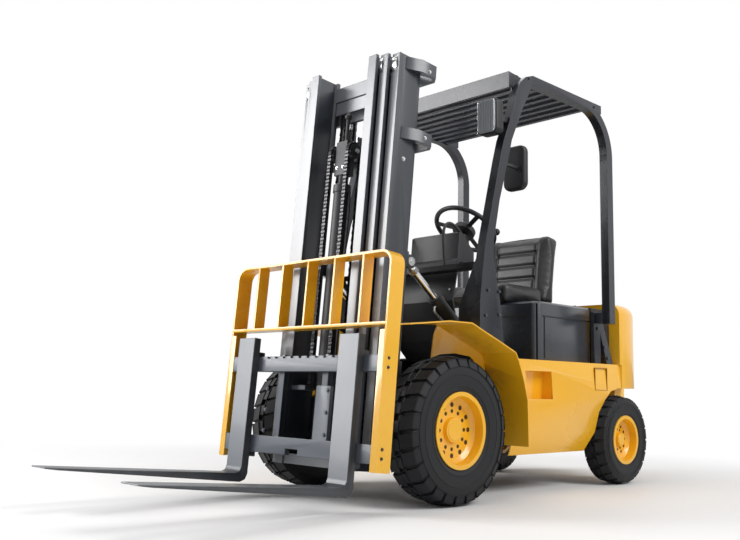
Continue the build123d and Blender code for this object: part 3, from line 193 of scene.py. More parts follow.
# Bodywork: side panels, counterweight casting and front fenders, bolted over the frame and
# sprayed with a thick warm yellow enamel. Pressed and cast edges are soft, the enamel has a
# faint orange peel and an uneven gloss, and the sharp edges are paler: partly rubbed wear,
# partly a painted highlight.
YELLOW = (0.93, 0.475, 0.010)
# Paler yellow for the sharp edges: partly rubbed wear, partly a painted highlight
WORN_HIGHLIT_YELLOW = (0.98, 0.66, 0.10)


def effect(name, inputs, outputs):
    """An empty node group with float inputs and outputs by name."""
    group = bpy.data.node_groups.new(name, "ShaderNodeTree")
    for title, value in inputs.items():
        socket = group.interface.new_socket(name=title, in_out="INPUT", socket_type="NodeSocketFloat")
        socket.default_value = value
    for title in outputs:
        group.interface.new_socket(name=title, in_out="OUTPUT", socket_type="NodeSocketFloat")
    return group, group.nodes.new("NodeGroupInput"), group.nodes.new("NodeGroupOutput")


# Soft blotches and fine grain, from the piece's own coordinates
mottle, enter, leave = effect("mottle", {"Broad Scale": 3, "Fine Scale": 220}, ["Broad", "Fine"])
place = mottle.nodes.new("ShaderNodeTexCoord")
for title, detail in (("Broad", 4), ("Fine", 2)):
    noise = mottle.nodes.new("ShaderNodeTexNoise")
    noise.inputs["Detail"].default_value = detail
    mottle.links.new(place.outputs["Object"], noise.inputs["Vector"])
    mottle.links.new(enter.outputs[title + " Scale"], noise.inputs["Scale"])
    mottle.links.new(noise.outputs["Fac"], leave.inputs[title])

# Worn and highlit edges: paler where the surface is sharply convex, broken up by noise; partly rubbed wear,
# partly a painted highlight
EDGE_FROM = 0.53
EDGE_FULL = 0.62
worn_highlit_edges, enter, leave = effect("worn_and_highlit_edges", {"Amount": 1}, ["Mask"])
shape = worn_highlit_edges.nodes.new("ShaderNodeNewGeometry")
ridge = node_of(worn_highlit_edges, "ShaderNodeMapRange")
ridge.inputs["From Min"].default_value = EDGE_FROM
ridge.inputs["From Max"].default_value = EDGE_FULL
worn_highlit_edges.links.new(shape.outputs["Pointiness"], ridge.inputs["Value"])
place = worn_highlit_edges.nodes.new("ShaderNodeTexCoord")
noise = worn_highlit_edges.nodes.new("ShaderNodeTexNoise")
noise.inputs["Scale"].default_value = 26
noise.inputs["Detail"].default_value = 5
worn_highlit_edges.links.new(place.outputs["Object"], noise.inputs["Vector"])
broken = node_of(worn_highlit_edges, "ShaderNodeMath", operation="MULTIPLY")
worn_highlit_edges.links.new(ridge.outputs["Result"], broken.inputs[0])
worn_highlit_edges.links.new(noise.outputs["Fac"], broken.inputs[1])
scaled = node_of(worn_highlit_edges, "ShaderNodeMath", operation="MULTIPLY")
worn_highlit_edges.links.new(broken.outputs["Value"], scaled.inputs[0])
worn_highlit_edges.links.new(enter.outputs["Amount"], scaled.inputs[1])
worn_highlit_edges.links.new(scaled.outputs["Value"], leave.inputs["Mask"])


# The Mix node's colour sockets, which share their names with its other kinds
MIX_FIRST = 6
MIX_SECOND = 7
MIX_RESULT = 2
BUMP_HEIGHT = 0.002


def finish(name, colour, darker=0.9, rough=(0.3, 0.4), metal=0.0, coat=0.0, coat_rough=0.08, peel=0.03,
           broad=3.0, fine=220.0, worn_highlit_edge=None, worn_highlit_amount=0.8, specular=0.5):
    """A surface with blotchy colour, varied gloss, fine bump and, if asked, paler edges that are partly
    rubbed wear and partly a painted highlight.
    """
    material = bpy.data.materials.new(name)
    material.use_nodes = True
    tree = material.node_tree
    shader = tree.nodes["Principled BSDF"]
    shader.inputs["Metallic"].default_value = metal
    shader.inputs["Coat Weight"].default_value = coat
    shader.inputs["Coat Roughness"].default_value = coat_rough
    shader.inputs["Specular IOR Level"].default_value = specular
    blotch = node_of(tree, "ShaderNodeGroup", node_tree=mottle)
    blotch.inputs["Broad Scale"].default_value = broad
    blotch.inputs["Fine Scale"].default_value = fine
    tint = node_of(tree, "ShaderNodeMix", data_type="RGBA")
    tint.inputs[MIX_FIRST].default_value = (*[c * darker for c in colour], 1)
    tint.inputs[MIX_SECOND].default_value = (*colour, 1)
    tree.links.new(blotch.outputs["Broad"], tint.inputs[0])
    skin = tint.outputs[MIX_RESULT]
    # Paler sharp edges: partly rubbed wear, partly a painted highlight
    if worn_highlit_edge:
        edge_wear_and_highlight = node_of(tree, "ShaderNodeGroup", node_tree=worn_highlit_edges)
        edge_wear_and_highlight.inputs["Amount"].default_value = worn_highlit_amount
        worn_highlit_skin = node_of(tree, "ShaderNodeMix", data_type="RGBA")
        worn_highlit_skin.inputs[MIX_SECOND].default_value = (*worn_highlit_edge, 1)
        tree.links.new(edge_wear_and_highlight.outputs["Mask"], worn_highlit_skin.inputs[0])
        tree.links.new(skin, worn_highlit_skin.inputs[MIX_FIRST])
        skin = worn_highlit_skin.outputs[MIX_RESULT]
    tree.links.new(skin, shader.inputs["Base Color"])
    gloss = node_of(tree, "ShaderNodeMapRange")
    gloss.inputs["To Min"].default_value = rough[0]
    gloss.inputs["To Max"].default_value = rough[1]
    tree.links.new(blotch.outputs["Broad"], gloss.inputs["Value"])
    tree.links.new(gloss.outputs["Result"], shader.inputs["Roughness"])
    bump = node_of(tree, "ShaderNodeBump")
    bump.inputs["Strength"].default_value = peel
    bump.inputs["Distance"].default_value = BUMP_HEIGHT
    tree.links.new(blotch.outputs["Fine"], bump.inputs["Height"])
    tree.links.new(bump.outputs["Normal"], shader.inputs["Normal"])
    return material


def truck(x, y, z):
    """A place in metres from the point on the ground below the front axle."""
    return Vector((axle_x + x, y, z))


def new_piece(name, bm, material, body, smooth=25):
    """A mesh object at the origin from a bmesh, riding on a body, smooth up to an angle."""
    bmesh.ops.recalc_face_normals(bm, faces=bm.faces)
    mesh = bpy.data.meshes.new(name)
    bm.to_mesh(mesh)
    bm.free()
    mesh.materials.append(material)
    piece = bpy.data.objects.new(name, mesh)
    scene.collection.objects.link(piece)
    if smooth:
        mesh.polygons.foreach_set("use_smooth", [True] * len(mesh.polygons))
        mesh.set_sharp_from_angle(angle=math.radians(smooth))
    if body:
        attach(piece, body)
    return piece


WELD = 0.00002
FLAT = math.radians(0.5)


def softened(node, material, width, segments=2, sharp=28):
    """A copy of a rigid node with its doubles merged and its sharp edges rounded."""
    bm = bmesh.new()
    bm.from_mesh(frame["nodes"][node].data)
    bmesh.ops.remove_doubles(bm, verts=bm.verts, dist=WELD)
    bmesh.ops.dissolve_limit(bm, angle_limit=FLAT, verts=bm.verts, edges=bm.edges)
    limit = math.radians(sharp)
    edges = [e for e in bm.edges if len(e.link_faces) == 2 and e.calc_face_angle() > limit]
    bmesh.ops.bevel(bm, geom=edges, offset=width, segments=segments, profile=0.5, affect="EDGES",
                    clamp_overlap=True, material=-1)
    piece = new_piece(node + "_finished", bm, material, frame["nodes"][node]["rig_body"])
    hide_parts(node)


def add_box(bm, low, high, place=Matrix(), bevel=0.0):
    """A box between two corners, in a frame, with rounded edges if asked."""
    size = [b - a for a, b in zip(low, high)]
    middle = Vector([(a + b) / 2 for a, b in zip(low, high)])
    stretched = place @ Matrix.Translation(middle) @ Matrix.Diagonal((*size, 1))
    made = bmesh.ops.create_cube(bm, size=1, matrix=stretched)
    if bevel:
        edges = list({e for v in made["verts"] for e in v.link_edges})
        bmesh.ops.bevel(bm, geom=edges, offset=bevel, segments=2, profile=0.5, affect="EDGES",
                        material=-1)


def add_box_pair(bm, x, y, z, bevel=0.0):
    """A box on each side of the truck, with its spans given for the left side."""
    for sign in (-1, 1):
        low, high = sorted((sign * y[0], sign * y[1]))
        add_box(bm, truck(x[0], low, z[0]), truck(x[1], high, z[1]), bevel=bevel)


def add_rod(bm, start, end, radius, sides=20, end_radius=None):
    """A round or six-sided rod between two points."""
    along = end - start
    turned = along.to_track_quat("Z", "Y").to_matrix().to_4x4()
    bmesh.ops.create_cone(bm, cap_ends=True, cap_tris=False, segments=sides, radius1=radius,
                          radius2=radius if end_radius is None else end_radius, depth=along.length,
                          matrix=Matrix.Translation((start + end) / 2) @ turned)


def add_bolt(bm, spot, out, size):
    """A hexagon bolt head on its washer, standing out along a direction."""
    add_rod(bm, spot, spot + out * size * 0.25, size * 1.25, 20)
    add_rod(bm, spot + out * size * 0.2, spot + out * size * 0.9, size, 6, size * 0.93)


yellow = finish("yellow_enamel", YELLOW, darker=0.93, rough=(0.22, 0.34), coat=0.5, peel=0.04, broad=2.2,
                worn_highlit_edge=WORN_HIGHLIT_YELLOW, worn_highlit_amount=0.5)
softened("side_panels", yellow, 0.003)
softened("counterweight", yellow, 0.008, segments=3)
softened("front_fenders", yellow, 0.0015)

# Filler hatches: a small door in each side panel behind the step, cut from the panel's own
# sheet. The narrow gap round each door shows dark, as a strip let into the panel's face.
SEAM_DARK = (0.30, 0.13, 0.01)
seam_paint = finish("seam_shadow", SEAM_DARK, rough=(0.6, 0.7))
HATCH_X = (-1.435, -1.305)
HATCH_Z = (0.545, 0.672)
SEAM_Y = (0.4785, 0.4985)
SEAM_W = 0.0025
bm = bmesh.new()
for z in HATCH_Z:
    add_box_pair(bm, HATCH_X, SEAM_Y, (z, z + SEAM_W))
for x in HATCH_X:
    add_box_pair(bm, (x, x + SEAM_W), SEAM_Y, HATCH_Z)
new_piece("hatch_outline", bm, seam_paint, "chassis")

# Chassis parts below and behind the bodywork: plate frame, axles, knuckles, engine, pedals
# and radiator cover, welded or cast and painted satin black, with the dull grain of shop paint.
CHASSIS_BLACK = (0.012, 0.013, 0.015)
# Paler black for the sharp edges: partly rubbed wear, partly a painted highlight
WORN_HIGHLIT_BLACK = (0.08, 0.08, 0.085)
black = finish("black_chassis_paint", CHASSIS_BLACK, darker=0.7, rough=(0.42, 0.6), peel=0.12,
               broad=5, fine=140, worn_highlit_edge=WORN_HIGHLIT_BLACK, worn_highlit_amount=0.6)
for node in ("frame", "floor_plate", "drive_axle", "steer_axle", "steer_knuckle_left", "steer_knuckle_right",
             "engine_block", "foot_pedals", "radiator_cover"):
    softened(node, black, 0.002)

# Driver's floor: a black rubber mat with cross ribs, moulded in one sheet and laid on the
# floor plate between the cowl and the hood.
RUBBER_BLACK = (0.022, 0.023, 0.024)
mat_rubber = finish("ribbed_rubber", RUBBER_BLACK, darker=0.7, rough=(0.6, 0.8), peel=0.3, fine=300)
DECK_TOP = 0.700
MAT = {"x": (-0.82, -0.51), "half_w": 0.32, "top": DECK_TOP + 0.004}
RIB = {"x": -0.812, "half_w": 0.31, "pitch": 0.0125, "w": 0.006, "z": (DECK_TOP + 0.003, DECK_TOP + 0.0065)}
RIBS = 24
bm = bmesh.new()
add_box(bm, truck(MAT["x"][0], -MAT["half_w"], DECK_TOP), truck(MAT["x"][1], MAT["half_w"], MAT["top"]))
for count in range(RIBS):
    x = RIB["x"] + count * RIB["pitch"]
    add_box(bm, truck(x, -RIB["half_w"], RIB["z"][0]), truck(x + RIB["w"], RIB["half_w"], RIB["z"][1]))
new_piece("floor_mat", bm, mat_rubber, "chassis")

# Tyres: solid industrial tyres of black rubber, moulded whole and pressed on the rims. Rings
# stand up from the sidewalls, and thick lugs run over both shoulders and the middle.
TYRE_BLACK = (0.011, 0.012, 0.014)
rubber = finish("tyre_rubber", TYRE_BLACK, darker=0.7, rough=(0.42, 0.6), peel=0.3, broad=9,
                fine=110, specular=0.28)
WHEELS = {
    "front": {"x": 0.0, "y": 0.490, "radius": 0.345, "width": 0.200, "rim": 0.165, "lugs": 26},
    "rear": {"x": -1.580, "y": 0.460, "radius": 0.258, "width": 0.150, "rim": 0.128, "lugs": 22},
}
# Half the section, from the bead to the tread: share of the half width, share of the wall
TYRE_SECTION = (
    (0.86, 0.004), (0.86, 0.09), (0.955, 0.18), (0.965, 0.21), (0.985, 0.215), (0.985, 0.245),
    (0.972, 0.25), (0.99, 0.42), (0.998, 0.50), (1.012, 0.505), (1.012, 0.53), (0.995, 0.535),
    (0.985, 0.64), (0.965, 0.72), (0.975, 0.725), (0.968, 0.75), (0.945, 0.755), (0.90, 0.84),
    (0.72, 0.905), (0.35, 0.918),
)
# Each row's edges as shares of the half width, its lugs' breadth, its start in pitches, its slant
LUG_ROWS = (
    ((-0.985, -0.20), 1.0, 0.0, -0.20),
    ((0.20, 0.985), 1.0, 0.5, 0.20),
    ((-0.16, 0.16), 0.8, 0.75, 0.0),
)
TYRE_STEPS = 104
LUG_GAP = 0.019
LUG_BEVEL = 0.0028
LUG_TOP_DROP = 0.001
LUG_ROOT_DROP = 0.030
SHOULDER_FROM = 0.6
SHOULDER_TOP_DROP = 0.0125
SHOULDER_ROOT_DROP = 0.046
SHOULDER_TAPER = 0.90


def add_lug(bm, size, edges, breadth, lean, angle):
    """One lug: a block bent to the tread's crown, slanted and turned to its place."""
    half = size["width"] / 2
    lug_w = math.tau / size["lugs"] * size["radius"] - LUG_GAP
    low, high = [share * half for share in edges]
    made = bmesh.ops.create_cube(bm, size=1)
    for vert in made["verts"]:
        sideways = low if vert.co.y < 0 else high
        top = vert.co.z > 0
        if abs(sideways) > SHOULDER_FROM * half:
            reach = size["radius"] - (SHOULDER_TOP_DROP if top else SHOULDER_ROOT_DROP)
            sideways *= SHOULDER_TAPER if top else 1
        else:
            reach = size["radius"] - (LUG_TOP_DROP if top else LUG_ROOT_DROP)
        slant = (abs(sideways) - half / 2) * lean
        round_way = vert.co.x * lug_w * breadth + slant
        vert.co = Vector((math.sqrt(reach ** 2 - round_way ** 2), sideways, round_way))
    corners = list({e for v in made["verts"] for e in v.link_edges})
    made = bmesh.ops.bevel(bm, geom=corners, offset=LUG_BEVEL, segments=2, profile=0.5,
                           affect="EDGES", material=-1)
    bmesh.ops.rotate(bm, verts=made["verts"], cent=(0, 0, 0), matrix=Matrix.Rotation(angle, 3, "Y"))


def add_tyre(bm, size):
    """A tyre about the Y axis through the origin: the spun carcass and its rows of lugs."""
    half = size["width"] / 2
    wall = size["radius"] - size["rim"]
    rows = [(y * half, size["rim"] + r * wall) for y, r in TYRE_SECTION]
    rows += [(-y, r) for y, r in reversed(rows)]
    verts = [bm.verts.new((r, y, 0)) for y, r in rows]
    edges = [bm.edges.new(pair) for pair in zip(verts, verts[1:])]
    bmesh.ops.spin(bm, geom=verts + edges, cent=(0, 0, 0), axis=(0, 1, 0), angle=math.tau,
                   steps=TYRE_STEPS, use_merge=True)
    for edges, breadth, start, lean in LUG_ROWS:
        for turn in range(size["lugs"]):
            add_lug(bm, size, edges, breadth, lean, (turn + start) * math.tau / size["lugs"])


for end_name, size in WHEELS.items():
    for side, sign in (("left", 1), ("right", -1)):
        bm = bmesh.new()
        add_tyre(bm, size)
        if sign < 0:
            half_turn = Matrix.Rotation(math.pi, 3, "Z")
            bmesh.ops.rotate(bm, verts=bm.verts, cent=(0, 0, 0), matrix=half_turn)
        hub = truck(size["x"], sign * size["y"], size["radius"])
        bmesh.ops.translate(bm, verts=bm.verts, vec=hub)
        tyre = new_piece(f"{end_name}_tyre_{side}_treaded", bm, rubber,
                         f"{end_name}_wheel_{side}", 40)
        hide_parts(f"{end_name}_tyre_{side}")

# Rims: pressed steel discs welded in rolled barrels, in the bodywork's yellow, with two rings
# of holes that show dark, and a pressed cap over the spindle's end.
for end_name in WHEELS:
    for side in ("left", "right"):
        softened(f"{end_name}_rim_{side}", yellow, 0.0015)
hole_shadow = finish("hole_shadow", (0.05, 0.022, 0.004), rough=(0.6, 0.7))
# Distances out from the middle of the truck, and each ring's radius and its holes' radius
RIM_FACES = {
    "front": {"disc": 0.522, "cap": (0.5385, 0.5425), "cap_r": 0.050,
              "rings": ((0.118, 0.0115), (0.088, 0.0092))},
    "rear": {"disc": 0.472, "cap": (0.4975, 0.5015), "cap_r": 0.034,
             "rings": ((0.083, 0.0085), (0.060, 0.0070))},
}
RIM_HOLES = 12
HOLE_SPAN = (-0.004, 0.0008)
CAP_TAPER = 0.004
for end_name, face in RIM_FACES.items():
    wheel = WHEELS[end_name]
    for side, sign in (("left", 1), ("right", -1)):
        hub = truck(wheel["x"], 0, wheel["radius"])
        out = Vector((0, sign, 0))
        bm = bmesh.new()
        for ring_r, hole_r in face["rings"]:
            for turn in range(RIM_HOLES):
                angle = turn * math.tau / RIM_HOLES
                spot = hub + Vector((ring_r * math.cos(angle), 0, ring_r * math.sin(angle)))
                start, end = [spot + out * (face["disc"] + depth) for depth in HOLE_SPAN]
                add_rod(bm, start, end, hole_r, 16)
        new_piece(f"{end_name}_rim_holes_{side}", bm, hole_shadow, f"{end_name}_wheel_{side}")
        bm = bmesh.new()
        start, end = [hub + out * depth for depth in face["cap"]]
        add_rod(bm, start, end, face["cap_r"], 32, face["cap_r"] - CAP_TAPER)
        new_piece(f"{end_name}_hub_cap_{side}", bm, yellow, f"{end_name}_wheel_{side}")

# Hood: folded steel over the engine, hinged at its rear, painted slate grey. A rubber seal
# runs along the line of its lid, and a rubber pull latch holds its front.
SLATE = (0.030, 0.036, 0.046)
# Paler slate for the sharp edges: partly rubbed wear, partly a painted highlight
WORN_HIGHLIT_SLATE = (0.14, 0.155, 0.18)
slate = finish("slate_enamel", SLATE, darker=0.85, rough=(0.24, 0.34), coat=0.25, coat_rough=0.22,
               peel=0.05, broad=2.5, worn_highlit_edge=WORN_HIGHLIT_SLATE, worn_highlit_amount=0.8)
softened("hood", slate, 0.006)
trim = finish("trim_rubber", (0.012, 0.012, 0.013), rough=(0.5, 0.65), peel=0.15)
HOOD = {"front": -0.830, "rear": -1.362, "side": 0.430, "foot": 0.715}
LID_LINE = (0.945, 0.945 + 0.007)
SEAL_Y = (HOOD["side"] - 0.004, HOOD["side"] + 0.0035)
CORNER_SEAM_X = (HOOD["front"] - 0.068, HOOD["front"] - 0.062)
LATCH = {"x": (HOOD["front"] - 0.002, HOOD["front"] + 0.012), "half_w": 0.030, "z": (0.875, 0.965)}
bm = bmesh.new()
add_box_pair(bm, (HOOD["rear"], HOOD["front"] - 0.05), SEAL_Y, LID_LINE)
add_box_pair(bm, CORNER_SEAM_X, SEAL_Y, (HOOD["foot"], LID_LINE[0]))
add_box(bm, truck(HOOD["front"] - 0.004, -HOOD["side"] + 0.05, LID_LINE[0]),
        truck(HOOD["front"] + 0.0035, HOOD["side"] - 0.05, LID_LINE[1]))
add_box(bm, truck(LATCH["x"][0], -LATCH["half_w"], LATCH["z"][0]),
        truck(LATCH["x"][1], LATCH["half_w"], LATCH["z"][1]), bevel=0.004)
new_piece("hood_seal_and_latch", bm, trim, "hood")

# Radiator grille: nine louvres of folded steel let into each side of the radiator cover
# behind the hood, and painted black with it.
LOUVRES = 9
LOUVRE_X = (-1.545, -1.405)
LOUVRE_Y = (0.424, 0.4325)
LOUVRE_FOOT = 0.745
LOUVRE_PITCH = 0.029
LOUVRE_H = 0.012
bm = bmesh.new()
for count in range(LOUVRES):
    z = LOUVRE_FOOT + count * LOUVRE_PITCH
    add_box_pair(bm, LOUVRE_X, LOUVRE_Y, (z, z + LOUVRE_H), bevel=0.002)
new_piece("radiator_louvres", bm, black, "chassis")

# Overhead guard: square steel tube bent to a hoop, with plate pillars on the fenders and flat
# bars welded across the roof. It is slate grey with its bolts, which hold it down by its feet.
GUARD_SLATE = (0.010, 0.013, 0.019)
guard_enamel = finish("guard_enamel", GUARD_SLATE, darker=0.8, rough=(0.22, 0.34), coat=0.12,
                      coat_rough=0.15, peel=0.05, broad=2.5, worn_highlit_edge=WORN_HIGHLIT_SLATE, worn_highlit_amount=0.6,
                      specular=0.38)
softened("overhead_guard", guard_enamel, 0.004)
softened("roof_bars", guard_enamel, 0.003)
PILLAR_BOLTS = ((-0.292, 0.905), (-0.185, 0.895), (-0.292, 1.02), (-0.205, 1.02))
REAR_BOLTS = ((-1.372, 0.955), (-1.372, 0.905), (-1.445, 0.80), (-1.482, 0.735))
ROOF_BOLTS = ((-0.56, 2.197), (-1.21, 2.197))
PILLAR_FACE_Y = 0.5755
REAR_FACE_Y = 0.4755
bm = bmesh.new()
for sign in (-1, 1):
    out = Vector((0, sign, 0))
    for places, face_y, size in ((PILLAR_BOLTS, PILLAR_FACE_Y, 0.008), (REAR_BOLTS, REAR_FACE_Y, 0.009),
                                 (ROOF_BOLTS, PILLAR_FACE_Y, 0.006)):
        for x, z in places:
            add_bolt(bm, truck(x, sign * face_y, z), out, size)
new_piece("guard_bolts", bm, guard_enamel, "chassis")

# Work lamps: black moulded housings on pillar brackets, each with a fluted glass lens in
# front and a bright strip pressed on down its inner side.
MOULDED_BLACK = (0.011, 0.012, 0.014)
plastic = finish("black_plastic", MOULDED_BLACK, darker=0.8, rough=(0.36, 0.5), peel=0.2, broad=6,
                 fine=400, specular=0.35)
softened("lamp_housings", plastic, 0.005)
lens_glass = finish("lamp_glass", (0.30, 0.32, 0.35), rough=(0.06, 0.14), coat=1.0, peel=0.0)
softened("lamp_lenses", lens_glass, 0.003)
LAMP = {"front": -0.262, "y": 0.517, "z": 1.930, "half_h": 0.080}
FLUTES = 9
FLUTE_PITCH = 0.0112
FLUTE_R = 0.0035
bm = bmesh.new()
for sign in (-1, 1):
    for count in range(FLUTES):
        y = sign * LAMP["y"] + (count - FLUTES // 2) * FLUTE_PITCH
        add_rod(bm, truck(LAMP["front"], y, LAMP["z"] - LAMP["half_h"]),
                truck(LAMP["front"], y, LAMP["z"] + LAMP["half_h"]), FLUTE_R, 10)
new_piece("lamp_fluting", bm, lens_glass, "chassis")
bright = finish("bright_rod", (0.72, 0.73, 0.75), darker=0.9, rough=(0.1, 0.2), metal=1.0, peel=0.01)
bm = bmesh.new()
add_box_pair(bm, (-0.285, -0.266), (LAMP["y"] - 0.0625, LAMP["y"] - 0.0575), (1.845, 2.015), bevel=0.001)
new_piece("lamp_trim", bm, bright, "chassis")

# Mirrors: black moulded shells on stalks behind the pillars, one each side. The silvered
# glass is let into the shell and faces back.
softened("mirrors", plastic, 0.006)
silver = finish("mirror_silver", (0.8, 0.82, 0.85), rough=(0.02, 0.05), metal=1.0, peel=0.0)
softened("mirror_glass", silver, 0.001)

# Rear lamps: red moulded lenses let into the counterweight's back, one each side of the
# middle, with four ribs across each.
red = finish("red_lens", (0.6, 0.03, 0.02), rough=(0.1, 0.2), coat=1.0)
softened("rear_lamps", red, 0.003)
LENS_RIBS = 4
LENS_RIB_FOOT = 0.897
LENS_RIB_PITCH = 0.013
LENS_RIB_H = 0.005
bm = bmesh.new()
for count in range(LENS_RIBS):
    z = LENS_RIB_FOOT + count * LENS_RIB_PITCH
    add_box_pair(bm, (-2.0285, -2.024), (0.054, 0.108), (z, z + LENS_RIB_H), bevel=0.001)
new_piece("rear_lamp_ribs", bm, red, "chassis")

# Tow pin: turned bright steel, dropped from above through the slot in the counterweight's
# back, where it would hold the eye of a drawbar.
softened("tow_pin", bright, 0.001)

# Cowl, instrument pod, steering column and hand levers: moulded black plastic held by zinc
# plated screws. Two round gauges stand on a dark glass face on the pod.
softened("cowl", plastic, 0.004)
softened("instrument_pod", plastic, 0.008, segments=3)
softened("steering_column", plastic, 0.003)
softened("control_levers", plastic, 0.001, sharp=60)
GAUGE_DARK = (0.01, 0.011, 0.013)
gauge_glass = finish("gauge_glass", GAUGE_DARK, rough=(0.06, 0.1), coat=1.0, peel=0.0)
POD_OUT = Vector((-0.100, 0, 0.110)).normalized()
POD_FACE_AT = truck(-0.505, 0.025, 1.3435)
GAUGE_X = (-0.05, 0.05)
bm = bmesh.new()
pod_frame = Matrix.Translation(POD_FACE_AT) @ POD_OUT.to_track_quat("Z", "Y").to_matrix().to_4x4()
add_box(bm, (-0.10, -0.045, -0.004), (0.10, 0.045, 0.003), pod_frame, bevel=0.002)
for x in GAUGE_X:
    bmesh.ops.create_cone(bm, cap_ends=True, cap_tris=False, segments=32, radius1=0.036,
                          radius2=0.033, depth=0.010, matrix=pod_frame @ Matrix.Translation((x, 0, 0.004)))
new_piece("pod_gauges", bm, gauge_glass, "chassis")
zinc = finish("zinc_plate", (0.62, 0.63, 0.62), darker=0.8, rough=(0.22, 0.36), metal=1.0, peel=0.03)
SCREW_Y = 0.215
SCREWS_XZ = ((-0.366, 0.86), (-0.336, 0.96), (-0.336, 1.06), (-0.366, 1.16))
bm = bmesh.new()
for sign in (-1, 1):
    for x, z in SCREWS_XZ:
        add_bolt(bm, truck(x, sign * SCREW_Y, z), Vector((1, 0, 0)), 0.005)
new_piece("cowl_screws", bm, zinc, "chassis")

# Steering wheel: a grip and spokes moulded in black plastic on a big hub, with a ball knob
# on a short stem on the grip, for turning it with one hand.
softened("steering_wheel", plastic, 0.003, sharp=40)
WHEEL_TILT = math.radians(-35)
KNOB_X = -0.09
KNOB_Y = 0.155
KNOB_R = 0.021
steer_place = Matrix.Translation(truck(-0.725, 0, 1.465)) @ Matrix.Rotation(WHEEL_TILT, 4, "Y")
bm = bmesh.new()
bmesh.ops.create_uvsphere(bm, u_segments=24, v_segments=16, radius=KNOB_R,
                          matrix=steer_place @ Matrix.Translation((KNOB_X, KNOB_Y, 0.038)))
add_rod(bm, steer_place @ Vector((KNOB_X, KNOB_Y, 0.0)), steer_place @ Vector((KNOB_X, KNOB_Y, 0.035)), 0.008)
new_piece("steering_knob", bm, plastic, "steering_wheel")

# Outer mast: rolled steel channels with bowed cross ties, welded up and painted slate grey.
# It leans back 4.8 degrees, so its pieces are placed in the mast's own frame: u forwards,
# y to the left and v up along the rails. Bright rollers turn on stub pins at the rail ends.
MAST_LEAN = math.radians(4.8)
MAST_FOOT = (0.293, 0.350)
mast = Matrix.Translation(truck(MAST_FOOT[0], 0, MAST_FOOT[1])) @ Matrix.Rotation(-MAST_LEAN, 4, "Y")


def on_mast(u, y, v):
    """A place given in the mast's own frame."""
    return mast @ Vector((u, y, v))


FORWARD = (mast.to_3x3() @ Vector((1, 0, 0))).normalized()
LEFT = Vector((0, 1, 0))
FACING_FROM = 0.90
FACING_FULL = 0.97


def with_painted_front_highlight(material, highlight_colour, amount):
    """Paints a highlight on the faces that look forwards, where the front light falls on them."""
    tree = material.node_tree
    shader = tree.nodes["Principled BSDF"]
    skin = shader.inputs["Base Color"].links[0].from_socket
    facing = tree.nodes.new("ShaderNodeTexCoord")
    dot = node_of(tree, "ShaderNodeVectorMath", operation="DOT_PRODUCT")
    dot.inputs[1].default_value = FORWARD
    tree.links.new(facing.outputs["Normal"], dot.inputs[0])
    # Painted highlight: strongest on the faces that look straight forwards
    front_highlight_mask = node_of(tree, "ShaderNodeMapRange")
    front_highlight_mask.inputs["From Min"].default_value = FACING_FROM
    front_highlight_mask.inputs["From Max"].default_value = FACING_FULL
    front_highlight_mask.inputs["To Max"].default_value = amount
    tree.links.new(dot.outputs["Value"], front_highlight_mask.inputs["Value"])
    painted_highlight = node_of(tree, "ShaderNodeMix", data_type="RGBA")
    painted_highlight.inputs[MIX_SECOND].default_value = (*highlight_colour, 1)
    tree.links.new(front_highlight_mask.outputs["Result"], painted_highlight.inputs[0])
    tree.links.new(skin, painted_highlight.inputs[MIX_FIRST])
    tree.links.new(painted_highlight.outputs[MIX_RESULT], shader.inputs["Base Color"])


# Painted highlight: a paler slate on the mast faces that look forwards, where the front light falls
MAST_PAINTED_HIGHLIGHT = (0.27, 0.28, 0.30)
mast_enamel = finish("mast_enamel", SLATE, darker=0.85, rough=(0.24, 0.34), coat=0.25,
                     coat_rough=0.22, peel=0.05, broad=2.5, worn_highlit_edge=WORN_HIGHLIT_SLATE, worn_highlit_amount=0.8)
with_painted_front_highlight(mast_enamel, MAST_PAINTED_HIGHLIGHT, 0.9)
for node in ("outer_mast", "middle_mast", "inner_mast"):
    softened(node, mast_enamel, 0.0025)
roller_steel = finish("roller_steel", (0.70, 0.70, 0.69), darker=0.85, rough=(0.22, 0.34),
                      metal=1.0, peel=0.02)
ROLLER_R = 0.0579
MAST_TOP = 1.830
TOP_ROLLER_V = MAST_TOP - 0.055
FOOT_ROLLER_V = -0.095
ROLLERS = {
    "outer_mast": [(0.023, TOP_ROLLER_V, 0.286, 0.338)],
    "middle_mast": [(0.050, TOP_ROLLER_V, 0.229, 0.264), (-0.004, FOOT_ROLLER_V, 0.286, 0.336)],
    "inner_mast": [(0.023, FOOT_ROLLER_V, 0.229, 0.262)],
}
for body, places in ROLLERS.items():
    bm = bmesh.new()
    for u, v, y0, y1 in places:
        for sign in (-1, 1):
            add_rod(bm, on_mast(u, sign * y0, v), on_mast(u, sign * y1, v), ROLLER_R, 40)
    new_piece(f"{body}_rollers", bm, roller_steel, body)
WEB_FACE_Y = 0.3558
BRACKET_FACE_Y = 0.3995
bm = bmesh.new()
for sign in (-1, 1):
    out = LEFT * sign
    for v, size in ((1.297, 0.009), (0.62, 0.009), (TOP_ROLLER_V, 0.011)):
        add_bolt(bm, on_mast(-0.002, sign * WEB_FACE_Y, v), out, size)
    for v in (1.775, 1.425):
        add_bolt(bm, on_mast(-0.10, sign * BRACKET_FACE_Y, v), out, 0.008)
new_piece("outer_mast_bolts", bm, zinc, "outer_mast")

